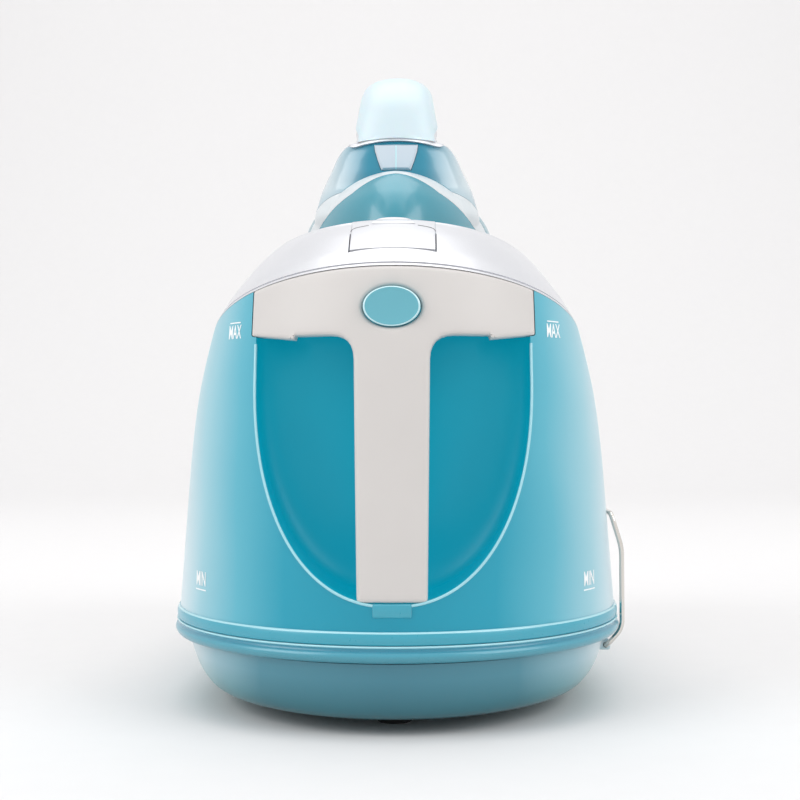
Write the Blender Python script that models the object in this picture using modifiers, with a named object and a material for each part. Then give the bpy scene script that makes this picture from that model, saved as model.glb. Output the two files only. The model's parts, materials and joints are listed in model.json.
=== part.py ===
# Steam ironing station: a base with a pull-out water tank, and its iron parked on top.
# Metres. X runs to the right, Y away from the tank handle, Z up. Origin: floor, middle of the base.

import math

import bmesh
import bpy
from mathutils import Matrix, Vector

for item in list(bpy.data.objects):
    bpy.data.objects.remove(item, do_unlink=True)

# Fits and cuts
GAP = 0.0003
OVERRUN = 0.05
WALL = 0.0025
RING_POINTS = 44
ROUND_SIDES = 20
SMALL_SIDES = 12

# The body seen from above, at its rim
BODY_LENGTH = 0.396
BODY_HALF_WIDTH = 0.1168
FRONT_REACH = 0.120
REAR_REACH = BODY_LENGTH - FRONT_REACH
FRONT_Y = -BODY_LENGTH / 2
REAR_Y = BODY_LENGTH / 2
WIDEST_Y = FRONT_Y + FRONT_REACH
FRONT_CURVE_SHARES = (1.0, 1.0)
REAR_CURVE_SHARES = (0.77, 0.77)

# Heights, from the floor up
FOOT_HEIGHT = 0.0063
FOOT_RADIUS = 0.0085
FRONT_FOOT_INSET = 0.048
SIDE_FOOT_INSET = 0.0448
SIDE_FOOT_BEHIND = 0.008
REAR_FOOT_SIDE_INSET = 0.0488
REAR_FOOT_INSET = 0.080
TRAY_HEIGHT = 0.0281
RIM_HEIGHT = 0.0083
TANK_BASE_HEIGHT = 0.0057
UPPER_HEIGHT = 0.200
TRAY_BOTTOM = FOOT_HEIGHT + GAP
RIM_BOTTOM = TRAY_BOTTOM + TRAY_HEIGHT + GAP
DECK_TOP = RIM_BOTTOM + RIM_HEIGHT
TANK_BASE_BOTTOM = DECK_TOP + GAP
UPPER_BOTTOM = TANK_BASE_BOTTOM + TANK_BASE_HEIGHT + GAP

# Outline rows: share of the height, of the half width, of the front reach and of the rear reach
TRAY_SHARES = [
    (0.0, 0.750, 0.842, 0.900),
    (0.07, 0.808, 0.897, 0.928),
    (0.18, 0.845, 0.923, 0.946),
    (0.40, 0.885, 0.942, 0.960),
    (0.70, 0.916, 0.955, 0.969),
    (1.0, 0.936, 0.963, 0.977),
]
RIM_SHARES = [
    (0.0, 0.985, 0.987, 0.993),
    (0.3, 1.0, 1.0, 1.0),
    (0.75, 0.998, 0.998, 0.999),
    (1.0, 0.985, 0.986, 0.993),
]
TANK_BASE_SHARES = [
    (0.0, 0.983, 0.983, 0.990),
    (0.45, 0.993, 0.993, 0.997),
    (1.0, 0.986, 0.986, 0.992),
]
UPPER_SHARES = [
    (0.0, 0.978, 0.977, 0.9855),
    (0.127, 0.961, 0.9625, 0.978),
    (0.262, 0.9435, 0.946, 0.969),
    (0.395, 0.925, 0.929, 0.9565),
    (0.527, 0.897, 0.908, 0.935),
    (0.662, 0.8476, 0.879, 0.906),
    (0.777, 0.792, 0.8375, 0.870),
    (0.902, 0.719, 0.779, 0.815),
    (1.0, 0.651, 0.717, 0.760),
]

# The top of the tank slopes down to the back, and the top of the housing slopes less
TANK_TOP_FRONT = 0.2175
TANK_TOP_ANGLE = math.radians(17.3)
HOUSING_TOP_ANGLE = math.radians(10.0)
PARTING_BEHIND = 0.016
PARTING_Y = WIDEST_Y + PARTING_BEHIND

# The silver frame: its lip seen from above, and its wall
LIP_SIDE_INSET = 0.0438
LIP_FRONT_INSET = 0.060
LIP_REAR_INSET = 0.022
LIP_CENTRE_BEHIND = 0.038
LIP_HALF_WIDTH = BODY_HALF_WIDTH - LIP_SIDE_INSET
LIP_CENTRE_Y = WIDEST_Y + LIP_CENTRE_BEHIND
LIP_FRONT_Y = FRONT_Y + LIP_FRONT_INSET
LIP_FRONT_REACH = LIP_CENTRE_Y - LIP_FRONT_Y
LIP_REAR_REACH = REAR_Y - LIP_REAR_INSET - LIP_CENTRE_Y
LIP_FRONT_HEIGHT = 0.244
LIP_WIDTH = 0.0048
LIP_CURVE_SHARES = (0.67, 0.67)
FRAME_BULGE = 0.003
FRAME_WALL = 0.003
LEDGE_WIDTH = 0.006
LEDGE_THICKNESS = 0.003

# Where the iron rests: its sole lies this far under the lip
REST_DROP = 0.0122
PAD_HEIGHT = 0.003
PAD_HALF_WIDTH = 0.020
PAD_HALF_LENGTH = 0.008
PAD_NOSE = 0.070
PAD_HEEL = 0.085
PLATE_THICKNESS = 0.0025
IRON_NOSE_GAP = 0.0052

# The T handle on the tank
BAR_END_COVER = 0.0025
BAR_BOTTOM = 0.181
BAR_END_RISE = 0.0008
STEM_TOP_HALF_WIDTH = 0.0178
STEM_FOOT_HALF_WIDTH = 0.0162
STEM_FOOT = 0.0625
HANDLE_FILLET = 0.0115
HANDLE_DEPTH = 0.0140
HANDLE_BACK_ROOM = 0.0035
HANDLE_PROUD = 0.0008
FOOT_LUG_HALF_WIDTH = 0.009
FOOT_LUG_HEIGHT = 0.0065

# The hand recess behind the handle
RECESS_SIDE_INSET = 0.0543
RECESS_HALF_WIDTH = BODY_HALF_WIDTH - RECESS_SIDE_INSET
BAR_HALF_WIDTH = RECESS_HALF_WIDTH + BAR_END_COVER
RECESS_BOTTOM = 0.061
RECESS_CURVE_TOP = 0.165
RECESS_TOP = 0.1985
RECESS_DEPTH = 0.060
RECESS_BACK_Y = FRONT_Y + RECESS_DEPTH
HANDLE_BACK_Y = RECESS_BACK_Y - HANDLE_BACK_ROOM
RECESS_CURVE_SHARE = 0.889
TANK_TOP_WALL = 0.004

# The release button, its spring and its latch
BUTTON_HALF_WIDTH = 0.0134
BUTTON_HALF_HEIGHT = 0.0094
BUTTON_HEIGHT = 0.198
BUTTON_PROUD = 0.0026
BUTTON_SEAT = 0.0040
BUTTON_POCKET = 0.0105
LATCH_HALF_WIDTH = 0.006
LATCH_DEPTH = 0.004
LATCH_BEHIND = 0.003
LATCH_HEIGHT = 0.0060
SPRING_RADIUS = 0.0035
SPRING_WIRE = 0.0005

# The filler flap in the top of the tank
FLAP_X = -0.045
FLAP_ALONG = 0.070
FLAP_HALF_WIDTH = 0.016
FLAP_HALF_LENGTH = 0.013
FLAP_THICKNESS = 0.0022
FLAP_PIN_RADIUS = 0.0009
FLAP_PIN_LENGTH = 0.0020

# The water valve between tank and base
VALVE_HEIGHT = 0.066
VALVE_RADIUS = 0.011
VALVE_BORE = 0.0065
VALVE_LENGTH = 0.018
POPPET_RADIUS = 0.0045
POPPET_STEM_RADIUS = 0.0018
POPPET_HEAD = 0.0020
SPOUT_RADIUS = 0.0048
SPOUT_BORE = 0.0020
SPOUT_REACH = 0.0055
SPOUT_TAIL = 0.010

# Inside the housing
BOILER_RADIUS = 0.042
BOILER_HALF_LENGTH = 0.060
BOILER_BEHIND = 0.054
BOILER_Y = PARTING_Y + BOILER_BEHIND
BOILER_CLEAR = 0.006
BOILER_DOME = 0.010
CRADLE_HALF_LENGTH = 0.034
CRADLE_HALF_WIDTH = 0.030
HEATER_RADIUS = 0.024
HEATER_THICKNESS = 0.008
STEAM_VALVE_SIZE = (0.030, 0.028, 0.024)
STEAM_VALVE_COIL_RADIUS = 0.010
PUMP_SIZE = (0.036, 0.062, 0.040)
PUMP_SIDE_INSET = 0.0548
PUMP_BEHIND = 0.093
PUMP_X = -(BODY_HALF_WIDTH - PUMP_SIDE_INSET)
PUMP_Y = BOILER_Y + PUMP_BEHIND
PUMP_MOUNT_HEIGHT = 0.006
BOARD_SIZE = (0.076, 0.0016, 0.070)
BOARD_X = -0.038
BOARD_INSET = 0.066
BOARD_Y = REAR_Y - BOARD_INSET
TUBE_RADIUS = 0.0035

# The connector bay at the back
BAY_HALF_WIDTH = 0.060
BAY_BOTTOM = 0.0560
BAY_TOP = 0.1240
BAY_DEPTH = 0.035
BAY_BACK_Y = REAR_Y - BAY_DEPTH
BAY_WALL = 0.003
HOUSING_GAP = 0.0006
SOCKET_NECK = 0.008
SOCKET_NOSE = 0.010
KNOB_FLANGE = 0.004
KNOB_NOSE = 0.0055
KNOB_GRIP = 0.0022
KNOB_GRIP_REACH = 0.0095
SOCKET_X = 0.036
SOCKET_HEIGHT = 0.0900
SOCKET_RADIUS = 0.011
GLAND_RADIUS = 0.0075
KNOB_RADIUS = 0.0125
KNOB_NECK_RADIUS = 0.007
FLANGE_THICKNESS = 0.0020
FLANGE_RIM = 0.003

# The hose clip on the right side
CLIP_RADIUS = 0.0016
CLIP_AHEAD = 0.014
CLIP_LENGTH = 0.062
CLIP_PIVOT_INSET = 0.0073
CLIP_OUT = 0.0032
CLIP_TOP_INSET = 0.0028
CLIP_FRONT_Y = WIDEST_Y - CLIP_AHEAD
CLIP_REAR_Y = CLIP_FRONT_Y + CLIP_LENGTH
CLIP_PIVOT_X = BODY_HALF_WIDTH - CLIP_PIVOT_INSET
CLIP_PIVOT_HEIGHT = 0.0265
CLIP_OUT_X = BODY_HALF_WIDTH + CLIP_OUT
CLIP_KNEE_HEIGHT = 0.036
CLIP_SHOULDER_HEIGHT = 0.076
CLIP_TOP_HEIGHT = 0.0955
CLIP_TOP_X = BODY_HALF_WIDTH - CLIP_TOP_INSET
CLIP_HOLE = 0.0002
CLIP_PIN_LENGTH = 0.007
CLIP_EAR_RADIUS = 0.0040
CLIP_EAR_END = 0.0025

# The lock tongue in the front of the frame, and its hook
TONGUE_HALF_WIDTH = 0.0205
TONGUE_SHARES = (0.36, 0.50, 0.64, 0.78, 0.92, 1.0)
TONGUE_THICKNESS = 0.003
TONGUE_GAP = 0.0006
HOOK_HALF_WIDTH = 0.0095
HOOK_FRONT = 0.127
HOOK_BACK = 0.1237
HOOK_FINGER_BACK = 0.1185
HOOK_FLOOR = 0.0030
HOOK_FINGER_FLOOR = 0.0112
HOOK_TOP = 0.0146
HOOK_ROUND = 0.0012

# The control panel behind the iron
PANEL_INSET = 0.083
PANEL_FRONT_Y = REAR_Y - PANEL_INSET
PANEL_HEIGHT = 0.0130
POWER_RADIUS = 0.0090
POWER_PROUD = 0.0012
POWER_SEAT = 0.0036
POWER_POCKET = 0.0090
POWER_BEHIND = 0.026
POWER_Y = PANEL_FRONT_Y + POWER_BEHIND
LIGHT_X = 0.026
LIGHT_RADIUS = 0.0032
LIGHT_THICKNESS = 0.0025

# The iron, on its own axes: X across, Y towards the heel, Z up from the sole
IRON_HALF_LENGTH = 0.118
IRON_HALF_WIDTH = 0.057
IRON_WIDEST = 0.022
NOSE_CURVE_SHARES = (1.15, 1.0)
HEEL_CURVE_SHARES = (0.5, 0.5)
SOLE_THICKNESS = 0.0035
SOLE_CHAMFER = 0.0015
SKIRT_TOP = 0.0105
SKIRT_INSET = 0.0012
SKIRT_WALL = 0.006
CHAMBER_SHARES = (0.82, 0.87, 0.87)
HEATER_BLOCK_TOP = 0.0215
BODY_BOTTOM = 0.0108
BODY_TOP = 0.0520
IRON_BODY_WALL = 0.003
# Share of the body's height, of the half width, of the nose reach and of the heel reach
IRON_BODY_SHARES = [
    (0.0, 0.956, 0.932, 0.945),
    (0.175, 0.985, 0.925, 0.955),
    (0.42, 1.0, 0.905, 0.955),
    (0.59, 0.990, 0.885, 0.950),
    (0.72, 0.970, 0.860, 0.945),
    (0.83, 0.925, 0.835, 0.930),
    (0.95, 0.855, 0.800, 0.905),
    (1.0, 0.800, 0.765, 0.880),
]
STRIPE_Y = -0.080
STRIPE_Z = 0.0500
STRIPE_ANGLE = math.radians(23.0)
STRIPE_THICKNESS = 0.0030
HEEL_Y = 0.0980

# The iron's handle: centre line, half width and half thickness from the nose end to the heel end
HANDLE_LINE = [
    (-0.0500, 0.0525, 0.0355, 0.0235),
    (-0.0530, 0.0620, 0.0305, 0.0205),
    (-0.0550, 0.0750, 0.0255, 0.0165),
    (-0.0550, 0.0765, 0.0222, 0.0135),
    (-0.0540, 0.0925, 0.0192, 0.0122),
    (-0.0440, 0.1085, 0.0172, 0.0110),
    (-0.0180, 0.1145, 0.0165, 0.0100),
    (0.0200, 0.1130, 0.0157, 0.0100),
    (0.0570, 0.1035, 0.0157, 0.0100),
    (0.0820, 0.0845, 0.0172, 0.0105),
    (0.0920, 0.0650, 0.0215, 0.0125),
    (0.0930, 0.0525, 0.0270, 0.0145),
]
HANDLE_SIDES = 20
HANDLE_CURVE_SHARE = 0.88
CAP_FIRST_ROW = 3
CAP_LAST_ROW = 9
CAP_THICKNESS = 0.0025
CAP_LIFT = 0.0012
CAP_FACETS_SHARE = 5.6
LENS_HALF_WIDTH = 0.0085
LENS_BOTTOM = 0.0590
LENS_TOP = 0.0735
LENS_DEPTH = 0.0030
LENS_FRONT_Y = -0.0745
TRIGGER_FRONT = -0.034
TRIGGER_BACK = -0.006
TRIGGER_HALF_WIDTH = 0.0085
TRIGGER_TOP = 0.1080
TRIGGER_BOTTOM = 0.0975
TRIGGER_SLOT_TOP = 0.1140
TRIGGER_SWING = 0.0008
TRIGGER_PIN_RADIUS = 0.0012
TRIGGER_PIN_REACH = 0.0025
IRON_SOCKET_RADIUS = 0.0080
IRON_SOCKET_LENGTH = 0.016
IRON_SOCKET_HEIGHT = 0.0400

parts = bpy.data.collections.new("steam_ironing_station")
cutters = bpy.data.collections.new("cutters")
bpy.context.scene.collection.children.link(parts)
bpy.context.scene.collection.children.link(cutters)


def finish(name, colour, roughness, metallic=0.0, alpha=1.0):
    """A Principled material from a linear colour."""
    made = bpy.data.materials.new(name)
    made.use_nodes = True
    shader = made.node_tree.nodes["Principled BSDF"]
    shader.inputs["Base Color"].default_value = (*colour, 1.0)
    shader.inputs["Roughness"].default_value = roughness
    shader.inputs["Metallic"].default_value = metallic
    shader.inputs["Alpha"].default_value = alpha
    return made


TEAL = finish("tank_teal", (0.05, 0.37, 0.46), 0.25)
BAND = finish("band_teal", (0.09, 0.42, 0.50), 0.30)
BOWL = finish("bowl_teal", (0.05, 0.20, 0.26), 0.35)
WHITE = finish("warm_white_plastic", (0.62, 0.61, 0.60), 0.40)
AQUA = finish("aqua_plastic", (0.56, 0.83, 0.87), 0.35)
BUTTON = finish("button_teal", (0.16, 0.50, 0.58), 0.30)
SILVER = finish("silver_paint", (0.62, 0.63, 0.66), 0.30, 0.6)
CHROME = finish("chrome_wire", (0.75, 0.73, 0.70), 0.15, 1.0)
STEEL = finish("spring_steel", (0.45, 0.45, 0.46), 0.30, 1.0)
METAL = finish("cast_aluminium", (0.55, 0.56, 0.57), 0.45, 1.0)
SOLE = finish("polished_sole", (0.50, 0.50, 0.52), 0.20, 1.0)
DARK = finish("dark_plastic", (0.03, 0.035, 0.04), 0.50)
RUBBER = finish("dark_rubber", (0.02, 0.02, 0.022), 0.80)
SILICONE = finish("silicone_tube", (0.60, 0.60, 0.58), 0.60)
BOARD = finish("circuit_board_green", (0.02, 0.12, 0.05), 0.50)
LIGHT = finish("light_lens", (0.70, 0.75, 0.75), 0.20)
CLEAR = finish("clear_lens", (0.75, 0.80, 0.84), 0.08)


def mesh_from(work, name):
    """Ends a bmesh as a mesh whose faces point out."""
    bmesh.ops.recalc_face_normals(work, faces=work.faces)
    made = bpy.data.meshes.new(name)
    work.to_mesh(made)
    work.free()
    return made


def add_part(name, mesh, material, origin=(0.0, 0.0, 0.0), parent=None):
    """Puts a mesh in the parts collection with its origin at a chosen point."""
    mesh.transform(Matrix.Translation(-Vector(origin)))
    mesh.materials.append(material)
    made = bpy.data.objects.new(name, mesh)
    made.location = origin
    made.parent = parent
    parts.objects.link(made)
    return made


def add_cutter(name, mesh, parent=None):
    """Puts a mesh with the cutters, where it is drawn as wire and never as a part."""
    made = bpy.data.objects.new(name, mesh)
    made.hide_render = True
    made.display_type = "WIRE"
    made.parent = parent
    cutters.objects.link(made)
    return made


def add_frame(name, origin, angle):
    """An empty whose X is level and whose Y runs down a slope to the back."""
    made = bpy.data.objects.new(name, None)
    made.location = origin
    made.rotation_euler = (-angle, 0.0, 0.0)
    parts.objects.link(made)
    return made


def boolean(target, cutter, operation="DIFFERENCE"):
    """Cuts, keeps or joins with the exact solver."""
    step = target.modifiers.new(operation.lower(), "BOOLEAN")
    step.operation = operation
    step.solver = "EXACT"
    step.object = cutter
    return target


def loft(name, rings):
    """A closed skin through rings with as many points each, with flat ends."""
    work = bmesh.new()
    rows = [[work.verts.new(point) for point in ring] for ring in rings]
    count = len(rings[0])
    for low, high in zip(rows, rows[1:]):
        for i in range(count):
            j = (i + 1) % count
            work.faces.new((low[i], low[j], high[j], high[i]))
    work.faces.new(list(reversed(rows[0])))
    work.faces.new(rows[-1])
    return mesh_from(work, name)


def ring_loft(name, rings):
    """A closed skin through rings, whose last ring joins the first."""
    work = bmesh.new()
    rows = [[work.verts.new(point) for point in ring] for ring in rings]
    count = len(rings[0])
    for low, high in zip(rows, rows[1:] + rows[:1]):
        for i in range(count):
            j = (i + 1) % count
            work.faces.new((low[i], low[j], high[j], high[i]))
    return mesh_from(work, name)


def box(name, low, high):
    """A box between two corners."""
    low, high = Vector(low), Vector(high)
    work = bmesh.new()
    size = Matrix.Diagonal((*(high - low), 1.0))
    bmesh.ops.create_cube(work, size=1.0, matrix=Matrix.Translation((low + high) / 2) @ size)
    return mesh_from(work, name)


def rod(name, start, end, radius, sides=ROUND_SIDES, end_radius=None):
    """A cylinder or cone between two points."""
    start, end = Vector(start), Vector(end)
    work = bmesh.new()
    turn = (end - start).to_track_quat("Z", "Y").to_matrix().to_4x4()
    bmesh.ops.create_cone(
        work,
        cap_ends=True,
        segments=sides,
        radius1=radius,
        radius2=radius if end_radius is None else end_radius,
        depth=(end - start).length,
        matrix=Matrix.Translation((start + end) / 2) @ turn,
    )
    return mesh_from(work, name)


def oval(name, centre, half_width, half_height, front_y, back_y, sides=ROUND_SIDES):
    """An oval disc whose axis runs along Y."""
    rings = []
    for y in (front_y, back_y):
        ring = []
        for i in range(sides):
            turn = math.tau * i / sides
            x = centre[0] + half_width * math.cos(turn)
            z = centre[1] + half_height * math.sin(turn)
            ring.append((x, y, z))
        rings.append(ring)
    return loft(name, rings)


def turned(name, profile, material, origin, axis, sides=ROUND_SIDES, parent=None):
    """A turned piece: a profile of (radius, distance along the axis), closed at both ends."""
    work = bmesh.new()
    points = [work.verts.new((radius, 0.0, along)) for radius, along in reversed(profile)]
    for first, second in zip(points, points[1:]):
        work.edges.new((first, second))
    mesh = bpy.data.meshes.new(name)
    work.to_mesh(mesh)
    work.free()
    mesh.materials.append(material)
    made = bpy.data.objects.new(name, mesh)
    made.location = origin
    made.rotation_mode = "QUATERNION"
    made.rotation_quaternion = Vector(axis).to_track_quat("Z", "Y")
    made.parent = parent
    parts.objects.link(made)
    step = made.modifiers.new("screw", "SCREW")
    step.steps = sides
    step.render_steps = sides
    step.use_merge_vertices = True
    step.merge_threshold = 0.00001
    return made


def outline_prism(name, points, thickness, matrix):
    """A flat outline given thickness, centred on its plane."""
    curve = bpy.data.curves.new(name, "CURVE")
    curve.dimensions = "2D"
    curve.fill_mode = "BOTH"
    curve.extrude = thickness / 2
    spline = curve.splines.new("POLY")
    spline.points.add(len(points) - 1)
    for target, (across, up) in zip(spline.points, points):
        target.co = (across, up, 0.0, 1.0)
    spline.use_cyclic_u = True
    drawn = bpy.data.objects.new(name, curve)
    bpy.context.scene.collection.objects.link(drawn)
    bpy.context.view_layer.update()
    shape = bpy.data.meshes.new_from_object(drawn.evaluated_get(bpy.context.evaluated_depsgraph_get()))
    bpy.data.objects.remove(drawn, do_unlink=True)
    bpy.data.curves.remove(curve)
    work = bmesh.new()
    work.from_mesh(shape)
    bpy.data.meshes.remove(shape)
    bmesh.ops.remove_doubles(work, verts=work.verts, dist=0.000001)
    bmesh.ops.transform(work, matrix=matrix, verts=work.verts)
    return mesh_from(work, name)


def facing_front(middle_y):
    """Stands an outline up, so that it is seen from the front, around one depth."""
    return Matrix.Translation((0.0, middle_y, 0.0)) @ Matrix.Rotation(math.pi / 2, 4, "X")


def facing_side(middle_x):
    """Stands an outline of (Y, Z) points up, so that it is seen from the side."""
    turn = Matrix(((0.0, 0.0, 1.0, 0.0), (1.0, 0.0, 0.0, 0.0), (0.0, 1.0, 0.0, 0.0), (0.0, 0.0, 0.0, 1.0)))
    return Matrix.Translation((middle_x, 0.0, 0.0)) @ turn


def tube(name, points, radius, material, parent=None, resolution=2):
    """A tube along hand-placed points, as a curve with filled ends."""
    curve = bpy.data.curves.new(name, "CURVE")
    curve.dimensions = "3D"
    curve.bevel_depth = radius
    curve.bevel_resolution = resolution
    curve.use_fill_caps = True
    spline = curve.splines.new("POLY")
    spline.points.add(len(points) - 1)
    for target, point in zip(spline.points, points):
        target.co = (*point, 1.0)
    curve.materials.append(material)
    made = bpy.data.objects.new(name, curve)
    made.parent = parent
    parts.objects.link(made)
    return made


def smooth_route(points, steps):
    """Points on a smooth curve through the given ones, straight at both ends."""
    points = [Vector(point) for point in points]
    route = [points[0]]
    for a, b, c, d in zip(points, points[1:], points[2:], points[3:]):
        for i in range(steps):
            t = i / steps
            curve = 2 * b + (c - a) * t + (2 * a - 5 * b + 4 * c - d) * t * t
            route.append((curve + (3 * b - a - 3 * c + d) * t ** 3) / 2)
    route.extend(points[-2:])
    return route


def coil(start, end, radius, turns, points_each=8):
    """Points of a spring between two ends of its axis."""
    start, end = Vector(start), Vector(end)
    along = end - start
    side = along.orthogonal().normalized()
    other = along.normalized().cross(side)
    count = turns * points_each
    route = []
    for i in range(count + 1):
        turn = math.tau * i / points_each
        route.append(start + along * (i / count) + radius * (side * math.cos(turn) + other * math.sin(turn)))
    return route


def signed_power(value, power):
    return math.copysign(abs(value) ** power, value)


def plan(half_width, centre_y, front, rear, front_powers, rear_powers, count=RING_POINTS):
    """Points (x, y) of an egg-shaped plan, from its widest point on the right, back first."""
    points = []
    for i in range(count):
        turn = math.tau * i / count
        across = math.cos(turn)
        along = math.sin(turn)
        reach = rear if along > 0 else front
        powers = rear_powers if along > 0 else front_powers
        x = half_width * signed_power(across, powers[0])
        y = centre_y + reach * signed_power(along, powers[1])
        points.append((x, y))
    return points


def row_at(rows, share):
    """A row of an outline table at any share of the height, straight between its rows."""
    for low, high in zip(rows, rows[1:]):
        if share <= high[0]:
            break
    mix = (share - low[0]) / (high[0] - low[0])
    return [a + (b - a) * mix for a, b in zip(low[1:], high[1:])]


def body_plan(shares, inset=0.0):
    """The body's plan at one height, drawn in from its outside by an inset."""
    wide, front, rear = shares
    return plan(
        BODY_HALF_WIDTH * wide - inset,
        WIDEST_Y,
        FRONT_REACH * front - inset,
        REAR_REACH * rear - inset,
        FRONT_CURVE_SHARES,
        REAR_CURVE_SHARES,
    )


def body_rings(rows, bottom, height, inset=0.0):
    """Rings of the body for one outline table."""
    rings = []
    for share, *shares in rows:
        z = bottom + share * height
        rings.append([(x, y, z) for x, y in body_plan(shares, inset)])
    return rings


def upper_rings(inset=0.0, below=0.0):
    """Rings of the upper body, drawn in by an inset and run on below its bottom for a cut."""
    rings = body_rings(UPPER_SHARES, UPPER_BOTTOM, UPPER_HEIGHT, inset)
    if below:
        rings.insert(0, [(x, y, z - below) for x, y, z in rings[0]])
    return rings


def upper_front(z):
    """How far forward the upper body reaches at a height."""
    return WIDEST_Y - FRONT_REACH * row_at(UPPER_SHARES, (z - UPPER_BOTTOM) / UPPER_HEIGHT)[1]


TANK_FRONT_Y = upper_front(TANK_TOP_FRONT)
TANK_SLOPE = math.tan(TANK_TOP_ANGLE)
HOUSING_SLOPE = math.tan(HOUSING_TOP_ANGLE)
LATCH_Y = TANK_FRONT_Y + LATCH_BEHIND


def tank_top(y):
    return TANK_TOP_FRONT - TANK_SLOPE * (y - TANK_FRONT_Y)


def housing_top(y):
    return tank_top(PARTING_Y) - HOUSING_SLOPE * (y - PARTING_Y)


def frame_foot(y):
    """Height of the silver frame's lower edge."""
    return max(tank_top(y), housing_top(y)) + GAP


def lip_height(y):
    return LIP_FRONT_HEIGHT - HOUSING_SLOPE * (y - LIP_FRONT_Y)


def frame_foot_ring(inset=0.0):
    """The lower edge of the frame, where the sloping top meets the upper body."""
    ring = []
    for i in range(RING_POINTS):
        z = TANK_TOP_FRONT
        for _ in range(12):
            shares = row_at(UPPER_SHARES, (z - UPPER_BOTTOM) / UPPER_HEIGHT)
            x, y = body_plan(shares, inset)[i]
            z = frame_foot(y)
        ring.append(Vector((x, y, z)))
    return ring


def lip_ring(inset=0.0, drop=0.0):
    """The frame's lip, or a ring inside it and below it."""
    points = plan(
        LIP_HALF_WIDTH - inset,
        LIP_CENTRE_Y,
        LIP_FRONT_REACH - inset,
        LIP_REAR_REACH - inset,
        FRONT_CURVE_SHARES,
        LIP_CURVE_SHARES,
    )
    return [Vector((x, y, lip_height(y) - drop)) for x, y in points]


def between(low, high, share, bulge=0.0):
    """A ring between two rings, pushed outwards by a bulge."""
    ring = []
    for a, b in zip(low, high):
        out = Vector((a.x, a.y - LIP_CENTRE_Y, 0.0)).normalized()
        ring.append(a.lerp(b, share) + out * bulge)
    return ring


def above_plane(name, point, angle, drop=0.0):
    """A slab over a plane that slopes down to the back."""
    slab = add_cutter(name, box(name, (-1.0, -1.0, -drop), (1.0, 1.0, 1.0)))
    slab.location = point
    slab.rotation_euler = (-angle, 0.0, 0.0)
    return slab


# The two sloping frames that pieces are placed in
tank_top_frame = add_frame("tank_top_frame", (0.0, TANK_FRONT_Y, TANK_TOP_FRONT), TANK_TOP_ANGLE)
nose_y = LIP_FRONT_Y + LIP_WIDTH + IRON_NOSE_GAP
nose = Vector((0.0, nose_y, lip_height(nose_y) - REST_DROP))
heelward = Vector((0.0, math.cos(HOUSING_TOP_ANGLE), -math.sin(HOUSING_TOP_ANGLE)))
iron_origin = nose + IRON_HALF_LENGTH * heelward
iron_frame = add_frame("iron_frame", iron_origin, HOUSING_TOP_ANGLE)


def make_base():
    """Feet, tray with the clip's ear, and the deck whose rim is the teal band."""
    side_x = BODY_HALF_WIDTH - SIDE_FOOT_INSET
    rear_x = BODY_HALF_WIDTH - REAR_FOOT_SIDE_INSET
    spots = [
        ("foot_front", 0.0, FRONT_Y + FRONT_FOOT_INSET),
        ("foot_left", -side_x, WIDEST_Y + SIDE_FOOT_BEHIND),
        ("foot_right", side_x, WIDEST_Y + SIDE_FOOT_BEHIND),
        ("foot_rear_left", -rear_x, REAR_Y - REAR_FOOT_INSET),
        ("foot_rear_right", rear_x, REAR_Y - REAR_FOOT_INSET),
    ]
    for name, x, y in spots:
        add_part(name, rod(name, (x, y, 0.0), (x, y, FOOT_HEIGHT), FOOT_RADIUS), RUBBER)

    tray = add_part("base_tray", loft("base_tray", body_rings(TRAY_SHARES, TRAY_BOTTOM, TRAY_HEIGHT)), BOWL)
    hollow_rings = body_rings(TRAY_SHARES, TRAY_BOTTOM + WALL, TRAY_HEIGHT, WALL)
    boolean(tray, add_cutter("tray_hollow", loft("tray_hollow", hollow_rings)))
    ear_x = CLIP_PIVOT_X - CLIP_EAR_RADIUS
    ear_low = (ear_x - 3 * WALL, CLIP_FRONT_Y + CLIP_EAR_END, CLIP_PIVOT_HEIGHT - CLIP_EAR_RADIUS)
    ear_top = CLIP_PIVOT_HEIGHT + CLIP_EAR_RADIUS
    ear_high = (CLIP_PIVOT_X + CLIP_EAR_RADIUS, CLIP_REAR_Y - CLIP_EAR_END, ear_top)
    boolean(tray, add_cutter("clip_ear", box("clip_ear", ear_low, ear_high)), "UNION")
    bore = rod(
        "clip_bore",
        (CLIP_PIVOT_X, CLIP_FRONT_Y, CLIP_PIVOT_HEIGHT),
        (CLIP_PIVOT_X, CLIP_REAR_Y, CLIP_PIVOT_HEIGHT),
        CLIP_RADIUS + CLIP_HOLE,
    )
    boolean(tray, add_cutter("clip_bore", bore))

    deck = add_part("base_deck", loft("base_deck", body_rings(RIM_SHARES, RIM_BOTTOM, RIM_HEIGHT)), BAND)
    under = body_rings(RIM_SHARES, RIM_BOTTOM - WALL, RIM_HEIGHT, 3 * WALL)
    boolean(deck, add_cutter("deck_hollow", loft("deck_hollow", under)))


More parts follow.
